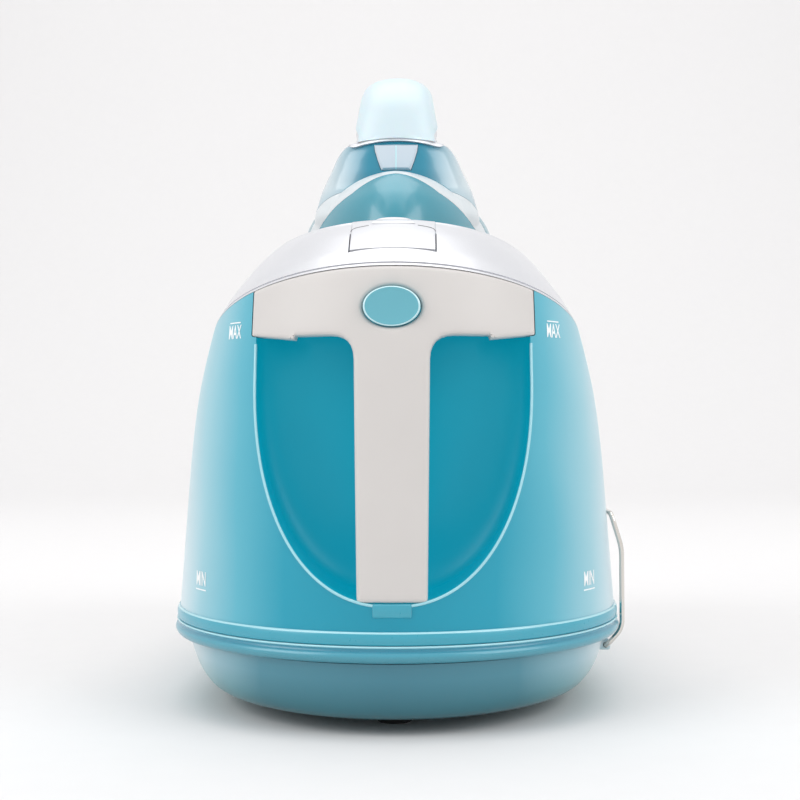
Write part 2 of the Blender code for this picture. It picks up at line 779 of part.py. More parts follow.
def make_clip():
    """A wire bail on the right side that swings out to hold the coiled hose."""
    side = [
        (CLIP_PIVOT_X, CLIP_PIVOT_HEIGHT),
        (CLIP_OUT_X - CLIP_RADIUS / 2, CLIP_KNEE_HEIGHT),
        (CLIP_OUT_X + CLIP_RADIUS / 4, CLIP_SHOULDER_HEIGHT),
        (CLIP_TOP_X, CLIP_TOP_HEIGHT),
    ]
    front = [(x, CLIP_FRONT_Y, z) for x, z in side]
    rear = [(x, CLIP_REAR_Y, z) for x, z in reversed(side)]
    pin_front = (CLIP_PIVOT_X, CLIP_FRONT_Y + CLIP_PIN_LENGTH, CLIP_PIVOT_HEIGHT)
    pin_rear = (CLIP_PIVOT_X, CLIP_REAR_Y - CLIP_PIN_LENGTH, CLIP_PIVOT_HEIGHT)
    pivot = bpy.data.objects.new("hose_clip_pivot", None)
    pivot.location = (CLIP_PIVOT_X, (CLIP_FRONT_Y + CLIP_REAR_Y) / 2, CLIP_PIVOT_HEIGHT)
    parts.objects.link(pivot)
    points = [Vector(point) - pivot.location for point in (pin_front, *front, *rear, pin_rear)]
    tube("hose_clip", points, CLIP_RADIUS, CHROME, pivot)


def handle_outline(grow=0.0):
    """The T of the handle seen from the front, grown by a clearance."""
    top = LIP_FRONT_HEIGHT
    bar = BAR_HALF_WIDTH + grow
    under = BAR_BOTTOM - grow
    foot = STEM_FOOT - grow
    radius = HANDLE_FILLET - grow
    fillet_middle = (STEM_TOP_HALF_WIDTH + HANDLE_FILLET, BAR_BOTTOM - HANDLE_FILLET)
    right = [(bar, top), (bar, under + BAR_END_RISE)]
    for i in range(6):
        turn = math.pi / 2 + math.pi / 2 * i / 5
        right.append((fillet_middle[0] + radius * math.cos(turn), fillet_middle[1] + radius * math.sin(turn)))
    right.append((STEM_FOOT_HALF_WIDTH + grow, foot))
    return right + [(-x, z) for x, z in reversed(right)]


def recess_outline(grow=0.0):
    """The U of the hand recess seen from the front, grown by a wall."""
    wide = RECESS_HALF_WIDTH + grow
    deep = RECESS_CURVE_TOP - RECESS_BOTTOM + grow
    right = [(wide, RECESS_TOP + grow)]
    for i in range(10):
        turn = math.pi / 2 * i / 9.5
        x = wide * math.cos(turn) ** RECESS_CURVE_SHARE
        right.append((x, RECESS_CURVE_TOP - deep * math.sin(turn) ** RECESS_CURVE_SHARE))
    return right + [(-x, z) for x, z in reversed(right)]


def front_prism(name, outline, back_y):
    """An outline pushed in from well in front of the body to one depth."""
    front_y = -BODY_LENGTH / 2 - OVERRUN
    return outline_prism(name, outline, back_y - front_y, facing_front((front_y + back_y) / 2))


def rear_half(name, y, drop=OVERRUN):
    """Everything behind a plane across the body."""
    return add_cutter(name, box(name, (-1.0, y, -drop), (1.0, 1.0, 1.0)))


def make_tank():
    """The tank shell with its hand recess, its bottom plate and its handle."""
    top_point = (0.0, TANK_FRONT_Y, TANK_TOP_FRONT)
    above = above_plane("above_tank", top_point, TANK_TOP_ANGLE)
    above_inner = above_plane("above_tank_inner", top_point, TANK_TOP_ANGLE, TANK_TOP_WALL)
    behind = rear_half("behind_tank", PARTING_Y)

    inner = add_cutter("tank_inner", loft("tank_inner", upper_rings(WALL, OVERRUN)))
    boolean(inner, above_inner)
    boolean(inner, rear_half("behind_tank_inner", PARTING_Y - WALL))
    recess_back = RECESS_BACK_Y + WALL
    recess_room = front_prism("recess_room", recess_outline(WALL), recess_back)
    boolean(inner, add_cutter("recess_room", recess_room))

    core = add_cutter("handle_core", loft("handle_core", upper_rings(HANDLE_DEPTH, OVERRUN)))
    notch = add_cutter("handle_notch", front_prism("handle_notch", handle_outline(GAP), HANDLE_BACK_Y + GAP))
    boolean(notch, core)
    inner_core = add_cutter("notch_core", loft("notch_core", upper_rings(HANDLE_DEPTH + WALL, OVERRUN)))
    room_outline = handle_outline(GAP + WALL)
    notch_room = add_cutter("notch_room", front_prism("notch_room", room_outline, HANDLE_BACK_Y + GAP + WALL))
    boolean(notch_room, inner_core)
    boolean(inner, notch_room)

    shell = add_part("tank_shell", loft("tank_shell", upper_rings()), TEAL)
    boolean(shell, above)
    boolean(shell, behind)
    boolean(shell, inner)
    recess = add_cutter("recess", front_prism("recess", recess_outline(), RECESS_BACK_Y))
    boolean(shell, recess)
    boolean(shell, notch)
    lug_front = upper_front(STEM_FOOT) - HANDLE_PROUD
    lug_low = (-FOOT_LUG_HALF_WIDTH, lug_front, STEM_FOOT - GAP - FOOT_LUG_HEIGHT)
    lug_high = (FOOT_LUG_HALF_WIDTH, lug_front + HANDLE_DEPTH, STEM_FOOT - GAP)
    boolean(shell, add_cutter("foot_lug", box("foot_lug", lug_low, lug_high)), "UNION")
    hole_low = (FLAP_X - FLAP_HALF_WIDTH - GAP, FLAP_ALONG - FLAP_HALF_LENGTH - GAP, -OVERRUN / 2)
    hole_high = (FLAP_X + FLAP_HALF_WIDTH + GAP, FLAP_ALONG + FLAP_HALF_LENGTH + GAP, OVERRUN / 2)
    boolean(shell, add_cutter("filler_hole", box("filler_hole", hole_low, hole_high), tank_top_frame))
    boolean(shell, add_cutter("flap_pin_hole", flap_pin("flap_pin_hole", 2 * GAP), tank_top_frame))
    seat = (0.0, PARTING_Y - 2 * WALL, VALVE_HEIGHT)
    through = (0.0, PARTING_Y + WALL, VALVE_HEIGHT)
    boolean(shell, add_cutter("valve_hole", rod("valve_hole", seat, through, VALVE_RADIUS + GAP)))

    base_rings = body_rings(TANK_BASE_SHARES, TANK_BASE_BOTTOM, TANK_BASE_HEIGHT)
    base = add_part("tank_base", loft("tank_base", base_rings), TEAL)
    boolean(base, rear_half("behind_tank_base", PARTING_Y))

    handle = add_part("tank_handle", front_prism("tank_handle", handle_outline(), HANDLE_BACK_Y), WHITE)
    proud = add_cutter("handle_envelope", loft("handle_envelope", upper_rings(-HANDLE_PROUD, OVERRUN)))
    boolean(handle, proud, "INTERSECT")
    front_core = add_cutter("handle_back", loft("handle_back", upper_rings(HANDLE_DEPTH - GAP, OVERRUN)))
    boolean(handle, front_core)
    boolean(handle, above_plane("above_handle", top_point, TANK_TOP_ANGLE, GAP))
    front = upper_front(BUTTON_HEIGHT) - HANDLE_PROUD
    pocket_size = (BUTTON_HALF_WIDTH + GAP, BUTTON_HALF_HEIGHT + GAP)
    centre = (0.0, BUTTON_HEIGHT)
    pocket = oval("button_pocket", centre, *pocket_size, front - OVERRUN, front + BUTTON_POCKET)
    boolean(handle, add_cutter("button_pocket", pocket))
    slot_low = (-LATCH_HALF_WIDTH - GAP, LATCH_Y - GAP, BUTTON_HEIGHT)
    slot_high = (LATCH_HALF_WIDTH + GAP, LATCH_Y + LATCH_DEPTH + GAP, LIP_FRONT_HEIGHT)
    boolean(handle, add_cutter("latch_slot", box("latch_slot", slot_low, slot_high)))


def flap_pin(name, grow=0.0):
    """The flap's two stub pins as one rod along its rear edge, or the holes they turn in."""
    reach = FLAP_HALF_WIDTH + FLAP_PIN_LENGTH + grow
    along = FLAP_ALONG + FLAP_HALF_LENGTH - FLAP_PIN_RADIUS - GAP
    low = -FLAP_THICKNESS / 2 - GAP
    radius = FLAP_PIN_RADIUS + grow / 2
    return rod(name, (FLAP_X - reach, along, low), (FLAP_X + reach, along, low), radius, SMALL_SIDES)


def make_tank_fittings():
    """The release button with its spring and latch, the filler flap and the outlet valve."""
    front = upper_front(BUTTON_HEIGHT) - HANDLE_PROUD
    button_y = front - BUTTON_PROUD
    centre = (0.0, BUTTON_HEIGHT)
    seat_y = front + BUTTON_SEAT
    disc = oval("tank_release_button", centre, BUTTON_HALF_WIDTH, BUTTON_HALF_HEIGHT, button_y, seat_y)
    add_part("tank_release_button", disc, BUTTON, (0.0, button_y, BUTTON_HEIGHT))
    spring_start = (0.0, seat_y + GAP + SPRING_WIRE, BUTTON_HEIGHT)
    spring_end = (0.0, front + BUTTON_POCKET - GAP - SPRING_WIRE, BUTTON_HEIGHT)
    tube("button_spring", coil(spring_start, spring_end, SPRING_RADIUS, 3), SPRING_WIRE, STEEL, resolution=1)
    top = tank_top(LATCH_Y + LATCH_DEPTH) - GAP
    latch_low = (-LATCH_HALF_WIDTH, LATCH_Y, top - LATCH_HEIGHT)
    latch_high = (LATCH_HALF_WIDTH, LATCH_Y + LATCH_DEPTH, top)
    add_part("tank_latch", box("tank_latch", latch_low, latch_high), DARK, (0.0, LATCH_Y, top))

    flap_low = (FLAP_X - FLAP_HALF_WIDTH, FLAP_ALONG - FLAP_HALF_LENGTH, -FLAP_THICKNESS - GAP)
    flap_high = (FLAP_X + FLAP_HALF_WIDTH, FLAP_ALONG + FLAP_HALF_LENGTH - FLAP_PIN_RADIUS, -GAP)
    hinge_along = FLAP_ALONG + FLAP_HALF_LENGTH - FLAP_PIN_RADIUS - GAP
    hinge = (FLAP_X, hinge_along, -FLAP_THICKNESS / 2 - GAP)
    flap = add_part("filler_flap", box("filler_flap", flap_low, flap_high), TEAL, hinge, tank_top_frame)
    boolean(flap, add_cutter("flap_pins", flap_pin("flap_pins"), tank_top_frame), "UNION")

    back = PARTING_Y
    body_start = back - VALVE_LENGTH
    body = rod("outlet_valve", (0, body_start, VALVE_HEIGHT), (0, back, VALVE_HEIGHT), VALVE_RADIUS)
    valve = add_part("outlet_valve", body, DARK)
    bore_start = (0, body_start - OVERRUN, VALVE_HEIGHT)
    bore = rod("valve_bore", bore_start, (0, back + OVERRUN, VALVE_HEIGHT), VALVE_BORE)
    boolean(valve, add_cutter("valve_bore", bore))
    spout_tip = back - SPOUT_REACH
    head_back = spout_tip - GAP
    head_front = head_back - POPPET_HEAD
    tail = body_start + POPPET_STEM_RADIUS
    profile = [
        (0.0, 0.0),
        (POPPET_RADIUS, 0.0),
        (POPPET_RADIUS, head_back - head_front),
        (POPPET_STEM_RADIUS, head_back - head_front),
        (POPPET_STEM_RADIUS, head_back - tail),
        (0.0, head_back - tail),
    ]
    turned("valve_poppet", profile, DARK, (0, head_back, VALVE_HEIGHT), (0, -1, 0))
    spring_end = (0, head_front - GAP - SPRING_WIRE, VALVE_HEIGHT)
    spring_start = (0, body_start + 2 * SPRING_WIRE, VALVE_HEIGHT)
    tube("valve_spring", coil(spring_start, spring_end, SPRING_RADIUS, 3), SPRING_WIRE, STEEL, resolution=1)
    spout_tail = (0, back + SPOUT_TAIL, VALVE_HEIGHT)
    spout = rod("inlet_spout", (0, spout_tip, VALVE_HEIGHT), spout_tail, SPOUT_RADIUS)
    inlet = add_part("inlet_spout", spout, DARK)
    spout_bore_end = (0, back + SPOUT_TAIL + OVERRUN, VALVE_HEIGHT)
    bore = rod("spout_bore", (0, spout_tip - OVERRUN, VALVE_HEIGHT), spout_bore_end, SPOUT_BORE, SMALL_SIDES)
    boolean(inlet, add_cutter("spout_bore", bore))


def make_housing():
    """The white rear housing, open above and below, and the bay for hose and mains lead."""
    housing_rings = upper_rings(0.0, UPPER_BOTTOM - TANK_BASE_BOTTOM)
    housing = add_part("rear_housing", loft("rear_housing", housing_rings), WHITE)
    hollow_rings = upper_rings(WALL, OVERRUN)
    hollow = add_cutter("housing_hollow", loft("housing_hollow", hollow_rings))
    front_y = PARTING_Y + HOUSING_GAP
    boolean(hollow, box_before("before_hollow", front_y + WALL))
    boolean(housing, box_before("before_housing", front_y))
    top_point = (0.0, PARTING_Y, tank_top(PARTING_Y))
    boolean(housing, above_plane("above_housing", top_point, HOUSING_TOP_ANGLE))
    boolean(housing, hollow)
    spout_start = (0.0, front_y - WALL, VALVE_HEIGHT)
    spout_end = (0.0, front_y + 2 * WALL, VALVE_HEIGHT)
    boolean(housing, add_cutter("spout_hole", rod("spout_hole", spout_start, spout_end, SPOUT_RADIUS + GAP)))
    low = (-BAY_HALF_WIDTH - GAP, BAY_BACK_Y - OVERRUN / 2, BAY_BOTTOM - GAP)
    high = (BAY_HALF_WIDTH + GAP, BODY_LENGTH, BAY_TOP + GAP)
    boolean(housing, add_cutter("bay_opening", box("bay_opening", low, high)))

    bay_low = (-BAY_HALF_WIDTH, BAY_BACK_Y, BAY_BOTTOM)
    bay_high = (BAY_HALF_WIDTH, BODY_LENGTH, BAY_TOP)
    bay = add_part("connector_bay", box("connector_bay", bay_low, bay_high), DARK)
    boolean(bay, add_cutter("bay_outside", loft("bay_outside", upper_rings(GAP))), "INTERSECT")
    room_low = (-BAY_HALF_WIDTH + BAY_WALL, BAY_BACK_Y + BAY_WALL, BAY_BOTTOM + BAY_WALL)
    room_high = (BAY_HALF_WIDTH - BAY_WALL, BODY_LENGTH + OVERRUN, BAY_TOP - BAY_WALL)
    boolean(bay, add_cutter("bay_room", box("bay_room", room_low, room_high)))
    for name, x, radius in (
        ("hose_hole", SOCKET_X, SOCKET_RADIUS),
        ("knob_hole", 0.0, KNOB_NECK_RADIUS),
        ("gland_hole", -SOCKET_X, GLAND_RADIUS),
    ):
        start = (x, BAY_BACK_Y - BAY_WALL, SOCKET_HEIGHT)
        end = (x, BAY_BACK_Y + 2 * BAY_WALL, SOCKET_HEIGHT)
        boolean(bay, add_cutter(name, rod(name, start, end, radius + GAP)))


def box_before(name, y):
    """Everything in front of a plane across the body."""
    return add_cutter(name, box(name, (-1.0, -1.0, -OVERRUN), (1.0, y, 1.0)))


def plug_profile(radius, reach_in, reach_out, rim, flange):
    """A turned plug: a neck through the bay's wall, a flange outside it and a rounded nose."""
    return [
        (0.0, -reach_in),
        (radius, -reach_in),
        (radius, 0.0),
        (radius + rim, 0.0),
        (radius + rim, flange),
        (radius, flange + rim / 2),
        (radius, reach_out),
        (0.0, reach_out),
    ]


def make_connectors():
    """The hose socket, the mains gland and the descaling knob in the bay."""
    face_y = BAY_BACK_Y + BAY_WALL + GAP
    socket = plug_profile(SOCKET_RADIUS, SOCKET_NECK, SOCKET_NOSE, FLANGE_RIM, FLANGE_THICKNESS)
    turned("hose_socket", socket, WHITE, (SOCKET_X, face_y, SOCKET_HEIGHT), (0, 1, 0))
    gland = plug_profile(GLAND_RADIUS, SOCKET_NECK, SOCKET_NOSE, FLANGE_RIM, FLANGE_THICKNESS)
    turned("mains_gland", gland, RUBBER, (-SOCKET_X, face_y, SOCKET_HEIGHT), (0, 1, 0))
    knob_rim = KNOB_RADIUS - KNOB_NECK_RADIUS
    knob = plug_profile(KNOB_NECK_RADIUS, SOCKET_NECK, KNOB_NOSE, knob_rim, KNOB_FLANGE)
    shaped = turned("descale_knob", knob, AQUA, (0, face_y, SOCKET_HEIGHT), (0, 1, 0))
    grip_low = (-KNOB_GRIP, face_y + KNOB_FLANGE / 2, SOCKET_HEIGHT - KNOB_NECK_RADIUS)
    grip_high = (KNOB_GRIP, face_y + KNOB_GRIP_REACH, SOCKET_HEIGHT + KNOB_NECK_RADIUS)
    boolean(shaped, add_cutter("knob_grip", box("knob_grip", grip_low, grip_high)), "UNION")


def frame_profile_rings():
    """Rings of the silver frame: up its outer wall, over the lip and down to the ledge."""
    foot = frame_foot_ring()
    lip = lip_ring()
    sole_level = REST_DROP
    ledge_top = sole_level + PAD_HEIGHT + PLATE_THICKNESS + 3 * GAP
    ledge_bottom = ledge_top + LEDGE_THICKNESS
    inner = LIP_WIDTH
    foot_inside = frame_foot_ring(FRAME_WALL)
    return [
        foot,
        between(foot, lip, 0.35, FRAME_BULGE * 0.9),
        between(foot, lip, 0.70, FRAME_BULGE),
        between(foot, lip, 0.93, FRAME_BULGE * 0.6),
        lip,
        lip_ring(inner),
        lip_ring(inner, ledge_top),
        lip_ring(inner + LEDGE_WIDTH, ledge_top),
        lip_ring(inner + LEDGE_WIDTH, ledge_bottom),
        lip_ring(inner - FRAME_WALL, ledge_bottom),
        lip_ring(inner - FRAME_WALL, 2 * FRAME_WALL),
        between(foot_inside, lip_ring(FRAME_WALL, 2 * FRAME_WALL), 0.75, 0.0),
        foot_inside,
    ]


def frame_front(x, share, depth=0.0):
    """A point on the front of the frame's outer wall, or at a depth behind it."""
    foot_wide, foot_front, _ = row_at(UPPER_SHARES, (TANK_TOP_FRONT - UPPER_BOTTOM) / UPPER_HEIGHT)
    wide = BODY_HALF_WIDTH * foot_wide * (1 - share) + LIP_HALF_WIDTH * share
    turn = math.asin(max(-1.0, min(1.0, x / wide)))
    foot_y = WIDEST_Y - FRONT_REACH * foot_front * math.cos(turn)
    lip_y = LIP_CENTRE_Y - LIP_FRONT_REACH * math.cos(turn)
    foot = Vector((x, foot_y, frame_foot(foot_y)))
    lip = Vector((x, lip_y, lip_height(lip_y)))
    out = Vector((0.0, lip_y - LIP_CENTRE_Y, 0.0)).normalized()
    bulge = FRAME_BULGE * 4 * share * (1 - share)
    slope = (lip - foot).normalized()
    inward = Vector((0.0, slope.z, -slope.y))
    return foot.lerp(lip, share) + out * bulge + inward * depth


def make_frame():
    """The silver frame, the plate inside it, and the pads that the iron rests on."""
    frame = add_part("platform_frame", ring_loft("platform_frame", frame_profile_rings()), SILVER)
    side = TONGUE_HALF_WIDTH + TONGUE_GAP
    low_share = TONGUE_SHARES[0] - TONGUE_GAP / LIP_FRONT_HEIGHT
    low = frame_front(0.0, low_share)
    slope = (frame_front(0.0, 1.0) - low).normalized()
    out = Vector((0.0, -slope.z, slope.y))
    start = low - slope * TONGUE_GAP
    back_y = LIP_FRONT_Y + LIP_WIDTH + FRAME_WALL
    floor = lip_height(back_y) - REST_DROP + HOOK_FLOOR - GAP
    sag = (low - frame_front(side, low_share)).dot(out)
    notch = [
        start + out * OVERRUN,
        start - out * (TONGUE_THICKNESS + TONGUE_GAP + sag),
        Vector((0.0, LIP_FRONT_Y, floor)),
        Vector((0.0, back_y + OVERRUN / 4, floor)),
        Vector((0.0, back_y + OVERRUN / 4, floor + OVERRUN)),
        Vector((0.0, start.y - OVERRUN, floor + OVERRUN)),
    ]
    notch_points = [(point.y, point.z) for point in notch]
    prism = outline_prism("tongue_notch", notch_points, 2 * side, facing_side(0.0))
    boolean(frame, add_cutter("tongue_notch", prism))

    inner = LIP_WIDTH + GAP
    plate_top = REST_DROP + PAD_HEIGHT + 2 * GAP
    plate_rings = [lip_ring(inner, plate_top + PLATE_THICKNESS), lip_ring(inner, plate_top)]
    add_part("rest_plate", loft("rest_plate", plate_rings), DARK)

    for name, along in (("rest_pad_nose", -PAD_NOSE), ("rest_pad_heel", PAD_HEEL)):
        low = (-PAD_HALF_WIDTH, along - PAD_HALF_LENGTH, -GAP - PAD_HEIGHT)
        high = (PAD_HALF_WIDTH, along + PAD_HALF_LENGTH, -GAP)
        add_part(name, box(name, low, high), SILICONE, (0.0, 0.0, 0.0), iron_frame)


def make_tongue():
    """The tongue that is pressed in to move the hook, following the frame's front."""
    across = [TONGUE_HALF_WIDTH * share for share in (-1.0, -0.75, -0.5, -0.25, 0.0, 0.25, 0.5, 0.75, 1.0)]
    outer = [[frame_front(x, share) for x in across] for share in TONGUE_SHARES]
    inner = [[frame_front(x, share, TONGUE_THICKNESS) for x in across] for share in TONGUE_SHARES]
    rings = [front + list(reversed(back)) for front, back in zip(outer, inner)]
    hinge = frame_front(0.0, TONGUE_SHARES[0], TONGUE_THICKNESS / 2)
    tongue = add_part("lock_tongue", loft("lock_tongue", rings), SILVER, hinge)
    foot = frame_front(0.0, TONGUE_SHARES[0])
    slope = (frame_front(0.0, 1.0) - foot).normalized()
    below = add_cutter("below_tongue", box("below_tongue", (-1.0, -1.0, -1.0), (1.0, 1.0, 0.0)))
    below.location = foot
    below.rotation_euler = (math.atan2(-slope.y, slope.z), 0.0, 0.0)
    boolean(tongue, below)


def make_hook():
    """The hook behind the tongue, which slides over the nose of the iron."""
    profile = [
        (-HOOK_FRONT, HOOK_FLOOR),
        (-HOOK_BACK, HOOK_FLOOR),
        (-HOOK_BACK, HOOK_FINGER_FLOOR),
        (-HOOK_FINGER_BACK, HOOK_FINGER_FLOOR),
        (-HOOK_FINGER_BACK, HOOK_TOP - HOOK_ROUND),
        (-HOOK_FINGER_BACK - HOOK_ROUND, HOOK_TOP),
        (-HOOK_FRONT + HOOK_ROUND, HOOK_TOP),
        (-HOOK_FRONT, HOOK_TOP - HOOK_ROUND),
    ]
    hook = outline_prism("lock_hook", profile, 2 * HOOK_HALF_WIDTH, facing_side(0.0))
    add_part("lock_hook", hook, SILVER, (0.0, -HOOK_FRONT, HOOK_FLOOR), iron_frame)


def make_panel():
    """The control panel behind the iron with its button and two lights."""
    inner = LIP_WIDTH + GAP
    bottom = REST_DROP + PAD_HEIGHT + GAP
    rings = [lip_ring(inner, bottom), lip_ring(inner, bottom - PANEL_HEIGHT)]
    panel = add_part("control_panel", loft("control_panel", rings), WHITE)
    boolean(panel, box_before("before_panel", PANEL_FRONT_Y))
    top = lip_height(POWER_Y) - bottom + PANEL_HEIGHT
    up = Vector((0.0, math.sin(HOUSING_TOP_ANGLE), math.cos(HOUSING_TOP_ANGLE)))
    centre = Vector((0.0, POWER_Y, top))
    pocket = rod("power_pocket", centre - up * POWER_POCKET, centre + up * OVERRUN, POWER_RADIUS + GAP)
    boolean(panel, add_cutter("power_pocket", pocket))
    button = rod("power_button", centre - up * POWER_SEAT, centre + up * POWER_PROUD, POWER_RADIUS)
    add_part("power_button", button, BUTTON, centre)
    start = centre - up * (POWER_SEAT + GAP + SPRING_WIRE)
    end = centre - up * (POWER_POCKET - GAP - SPRING_WIRE)
    tube("power_spring", coil(start, end, SPRING_RADIUS, 3), SPRING_WIRE, STEEL, resolution=1)
    for name, side in (("power_light", -1), ("descale_light", 1)):
        spot = centre + Vector((side * LIGHT_X, 0.0, 0.0))
        floor = spot - up * (LIGHT_THICKNESS + GAP)
        hole = rod(f"{name}_hole", floor, spot + up * OVERRUN, LIGHT_RADIUS + GAP)
        boolean(panel, add_cutter(f"{name}_hole", hole))
        add_part(name, rod(name, spot - up * LIGHT_THICKNESS, spot + up * GAP, LIGHT_RADIUS), LIGHT)


def make_works():
    """The boiler on its cradle, the heater, the valve, the pump, the board and the tubes."""
    boiler_z = DECK_TOP + GAP + BOILER_CLEAR + BOILER_RADIUS
    half = BOILER_HALF_LENGTH
    dome = BOILER_DOME
    profile = [
        (0.0, -half - dome),
        (BOILER_RADIUS * 0.55, -half - dome * 0.8),
        (BOILER_RADIUS * 0.85, -half - dome * 0.4),
        (BOILER_RADIUS, -half),
        (BOILER_RADIUS, half),
        (BOILER_RADIUS * 0.85, half + dome * 0.4),
        (BOILER_RADIUS * 0.55, half + dome * 0.8),
        (0.0, half + dome),
    ]
    turned("boiler", profile, METAL, (0, BOILER_Y, boiler_z), (1, 0, 0), 28)

    low = (-CRADLE_HALF_LENGTH, BOILER_Y - CRADLE_HALF_WIDTH, DECK_TOP + GAP)
    high = (CRADLE_HALF_LENGTH, BOILER_Y + CRADLE_HALF_WIDTH, boiler_z - BOILER_RADIUS / 2)
    cradle = add_part("boiler_cradle", box("boiler_cradle", low, high), DARK)
    seat = rod(
        "cradle_seat",
        (-half, BOILER_Y, boiler_z),
        (half, BOILER_Y, boiler_z),
        BOILER_RADIUS + GAP,
        28,
    )
    boolean(cradle, add_cutter("cradle_seat", seat))

    heater_x = -half - dome - GAP
    start = (heater_x, BOILER_Y, boiler_z)
    end = (heater_x - HEATER_THICKNESS, BOILER_Y, boiler_z)
    add_part("boiler_heater", rod("boiler_heater", start, end, HEATER_RADIUS, 24), STEEL)

    wide, deep, tall = STEAM_VALVE_SIZE
    valve_bottom = boiler_z + BOILER_RADIUS + GAP
    low = (-wide / 2, BOILER_Y - deep / 2, valve_bottom)
    high = (wide / 2, BOILER_Y + deep / 2, valve_bottom + tall)
    valve = add_part("steam_valve", box("steam_valve", low, high), METAL)
    coil_top = (0, BOILER_Y, valve_bottom + tall + tall / 2)
    coil_body = rod("valve_coil", (0, BOILER_Y, valve_bottom + tall / 2), coil_top, STEAM_VALVE_COIL_RADIUS)
    boolean(valve, add_cutter("valve_coil", coil_body), "UNION")

    wide, deep, tall = PUMP_SIZE
    mount_low = (PUMP_X - wide / 2, PUMP_Y - deep / 2, DECK_TOP + GAP)
    mount_high = (PUMP_X + wide / 2, PUMP_Y + deep / 2, DECK_TOP + GAP + PUMP_MOUNT_HEIGHT)
    add_part("pump_mount", box("pump_mount", mount_low, mount_high), RUBBER)
    pump_bottom = DECK_TOP + 2 * GAP + PUMP_MOUNT_HEIGHT
    low = (PUMP_X - wide / 2, PUMP_Y - deep / 2, pump_bottom)
    high = (PUMP_X + wide / 2, PUMP_Y + deep / 2, pump_bottom + tall)
    add_part("pump", box("pump", low, high), DARK)

    wide, thick, tall = BOARD_SIZE
    low = (BOARD_X - wide / 2, BOARD_Y, DECK_TOP + GAP)
    high = (BOARD_X + wide / 2, BOARD_Y + thick, DECK_TOP + GAP + tall)
    add_part("circuit_board", box("circuit_board", low, high), BOARD)

    pump_face = PUMP_Y - PUMP_SIZE[1] / 2 - GAP
    pump_top = pump_bottom + PUMP_SIZE[2] + GAP
    make_tubes(boiler_z, pump_face, pump_top, valve_bottom)


def make_tubes(boiler_z, pump_face, pump_top, valve_bottom):
    """Water from tank to pump and boiler, steam to the hose socket, and the drain."""
    start_y = PARTING_Y + SPOUT_TAIL - TUBE_RADIUS + GAP
    start_z = VALVE_HEIGHT - SPOUT_RADIUS - GAP
    lane_z = DECK_TOP + 2 * TUBE_RADIUS
    side_x = -(BOILER_HALF_LENGTH + BOILER_DOME + HEATER_THICKNESS + 2 * TUBE_RADIUS)
    inlet_z = VALVE_HEIGHT
    feed = [
        (0.0, start_y, start_z),
        (0.0, start_y, start_z - TUBE_RADIUS),
        (-2 * TUBE_RADIUS, start_y, lane_z),
        (side_x * 0.35, start_y + TUBE_RADIUS, lane_z),
        (side_x * 0.75, start_y + TUBE_RADIUS, lane_z),
        (side_x, BOILER_Y - BOILER_RADIUS * 0.75, lane_z),
        (side_x, BOILER_Y, lane_z),
        (side_x, BOILER_Y + BOILER_RADIUS * 0.7, lane_z),
        (PUMP_X * 1.15, pump_face - 4 * TUBE_RADIUS, inlet_z - TUBE_RADIUS),
        (PUMP_X, pump_face - 2 * TUBE_RADIUS, inlet_z),
        (PUMP_X, pump_face, inlet_z),
    ]
    tube("feed_tube", smooth_route(feed, 3), TUBE_RADIUS, SILICONE)

    boiler_back = BOILER_Y + BOILER_RADIUS + GAP
    rise = BOILER_RADIUS / 2
    water = [
        (PUMP_X, PUMP_Y, pump_top),
        (PUMP_X, PUMP_Y, pump_top + rise / 2),
        (PUMP_X * 0.95, PUMP_Y - rise, pump_top + rise),
        (PUMP_X * 0.75, boiler_back + rise, pump_top + rise * 0.9),
        (PUMP_X * 0.55, boiler_back + rise / 3, boiler_z),
        (PUMP_X * 0.55, boiler_back, boiler_z),
    ]
    tube("boiler_tube", smooth_route(water, 3), TUBE_RADIUS, SILICONE)

    neck_y = BAY_BACK_Y + BAY_WALL - SOCKET_NECK
    valve_back = BOILER_Y + STEAM_VALVE_SIZE[1] / 2 + GAP
    valve_middle = valve_bottom + STEAM_VALVE_SIZE[2] / 2
    run = neck_y - valve_back
    fall = valve_middle - SOCKET_HEIGHT
    steam = [
        (0.0, valve_back, valve_middle),
        (0.0, valve_back + run * 0.08, valve_middle),
        (SOCKET_X * 0.30, valve_back + run * 0.30, valve_middle - fall * 0.10),
        (SOCKET_X * 0.75, valve_back + run * 0.60, valve_middle - fall * 0.50),
        (SOCKET_X, valve_back + run * 0.90, SOCKET_HEIGHT),
        (SOCKET_X, neck_y, SOCKET_HEIGHT),
    ]
    tube("steam_tube", smooth_route(steam, 3), TUBE_RADIUS, SILICONE)

    drain_x = CRADLE_HALF_LENGTH + 3 * TUBE_RADIUS
    slant = (BOILER_RADIUS + GAP) * math.sqrt(0.5)
    start = Vector((drain_x, BOILER_Y + slant, boiler_z - slant))
    away = Vector((0.0, 1.0, -1.0)).normalized() * TUBE_RADIUS
    drop = DECK_TOP + 3 * TUBE_RADIUS
    run = neck_y - start.y
    drain = [
        start + away * 1.1,
        start + away * 2.0,
        (drain_x, start.y + run * 0.20, drop),
        (drain_x * 0.80, start.y + run * 0.45, drop),
        (drain_x * 0.45, start.y + run * 0.70, drop + (SOCKET_HEIGHT - drop) * 0.30),
        (0.0, start.y + run * 0.92, SOCKET_HEIGHT),
        (0.0, neck_y, SOCKET_HEIGHT),
    ]
    tube("drain_tube", smooth_route(drain, 3), TUBE_RADIUS, SILICONE)


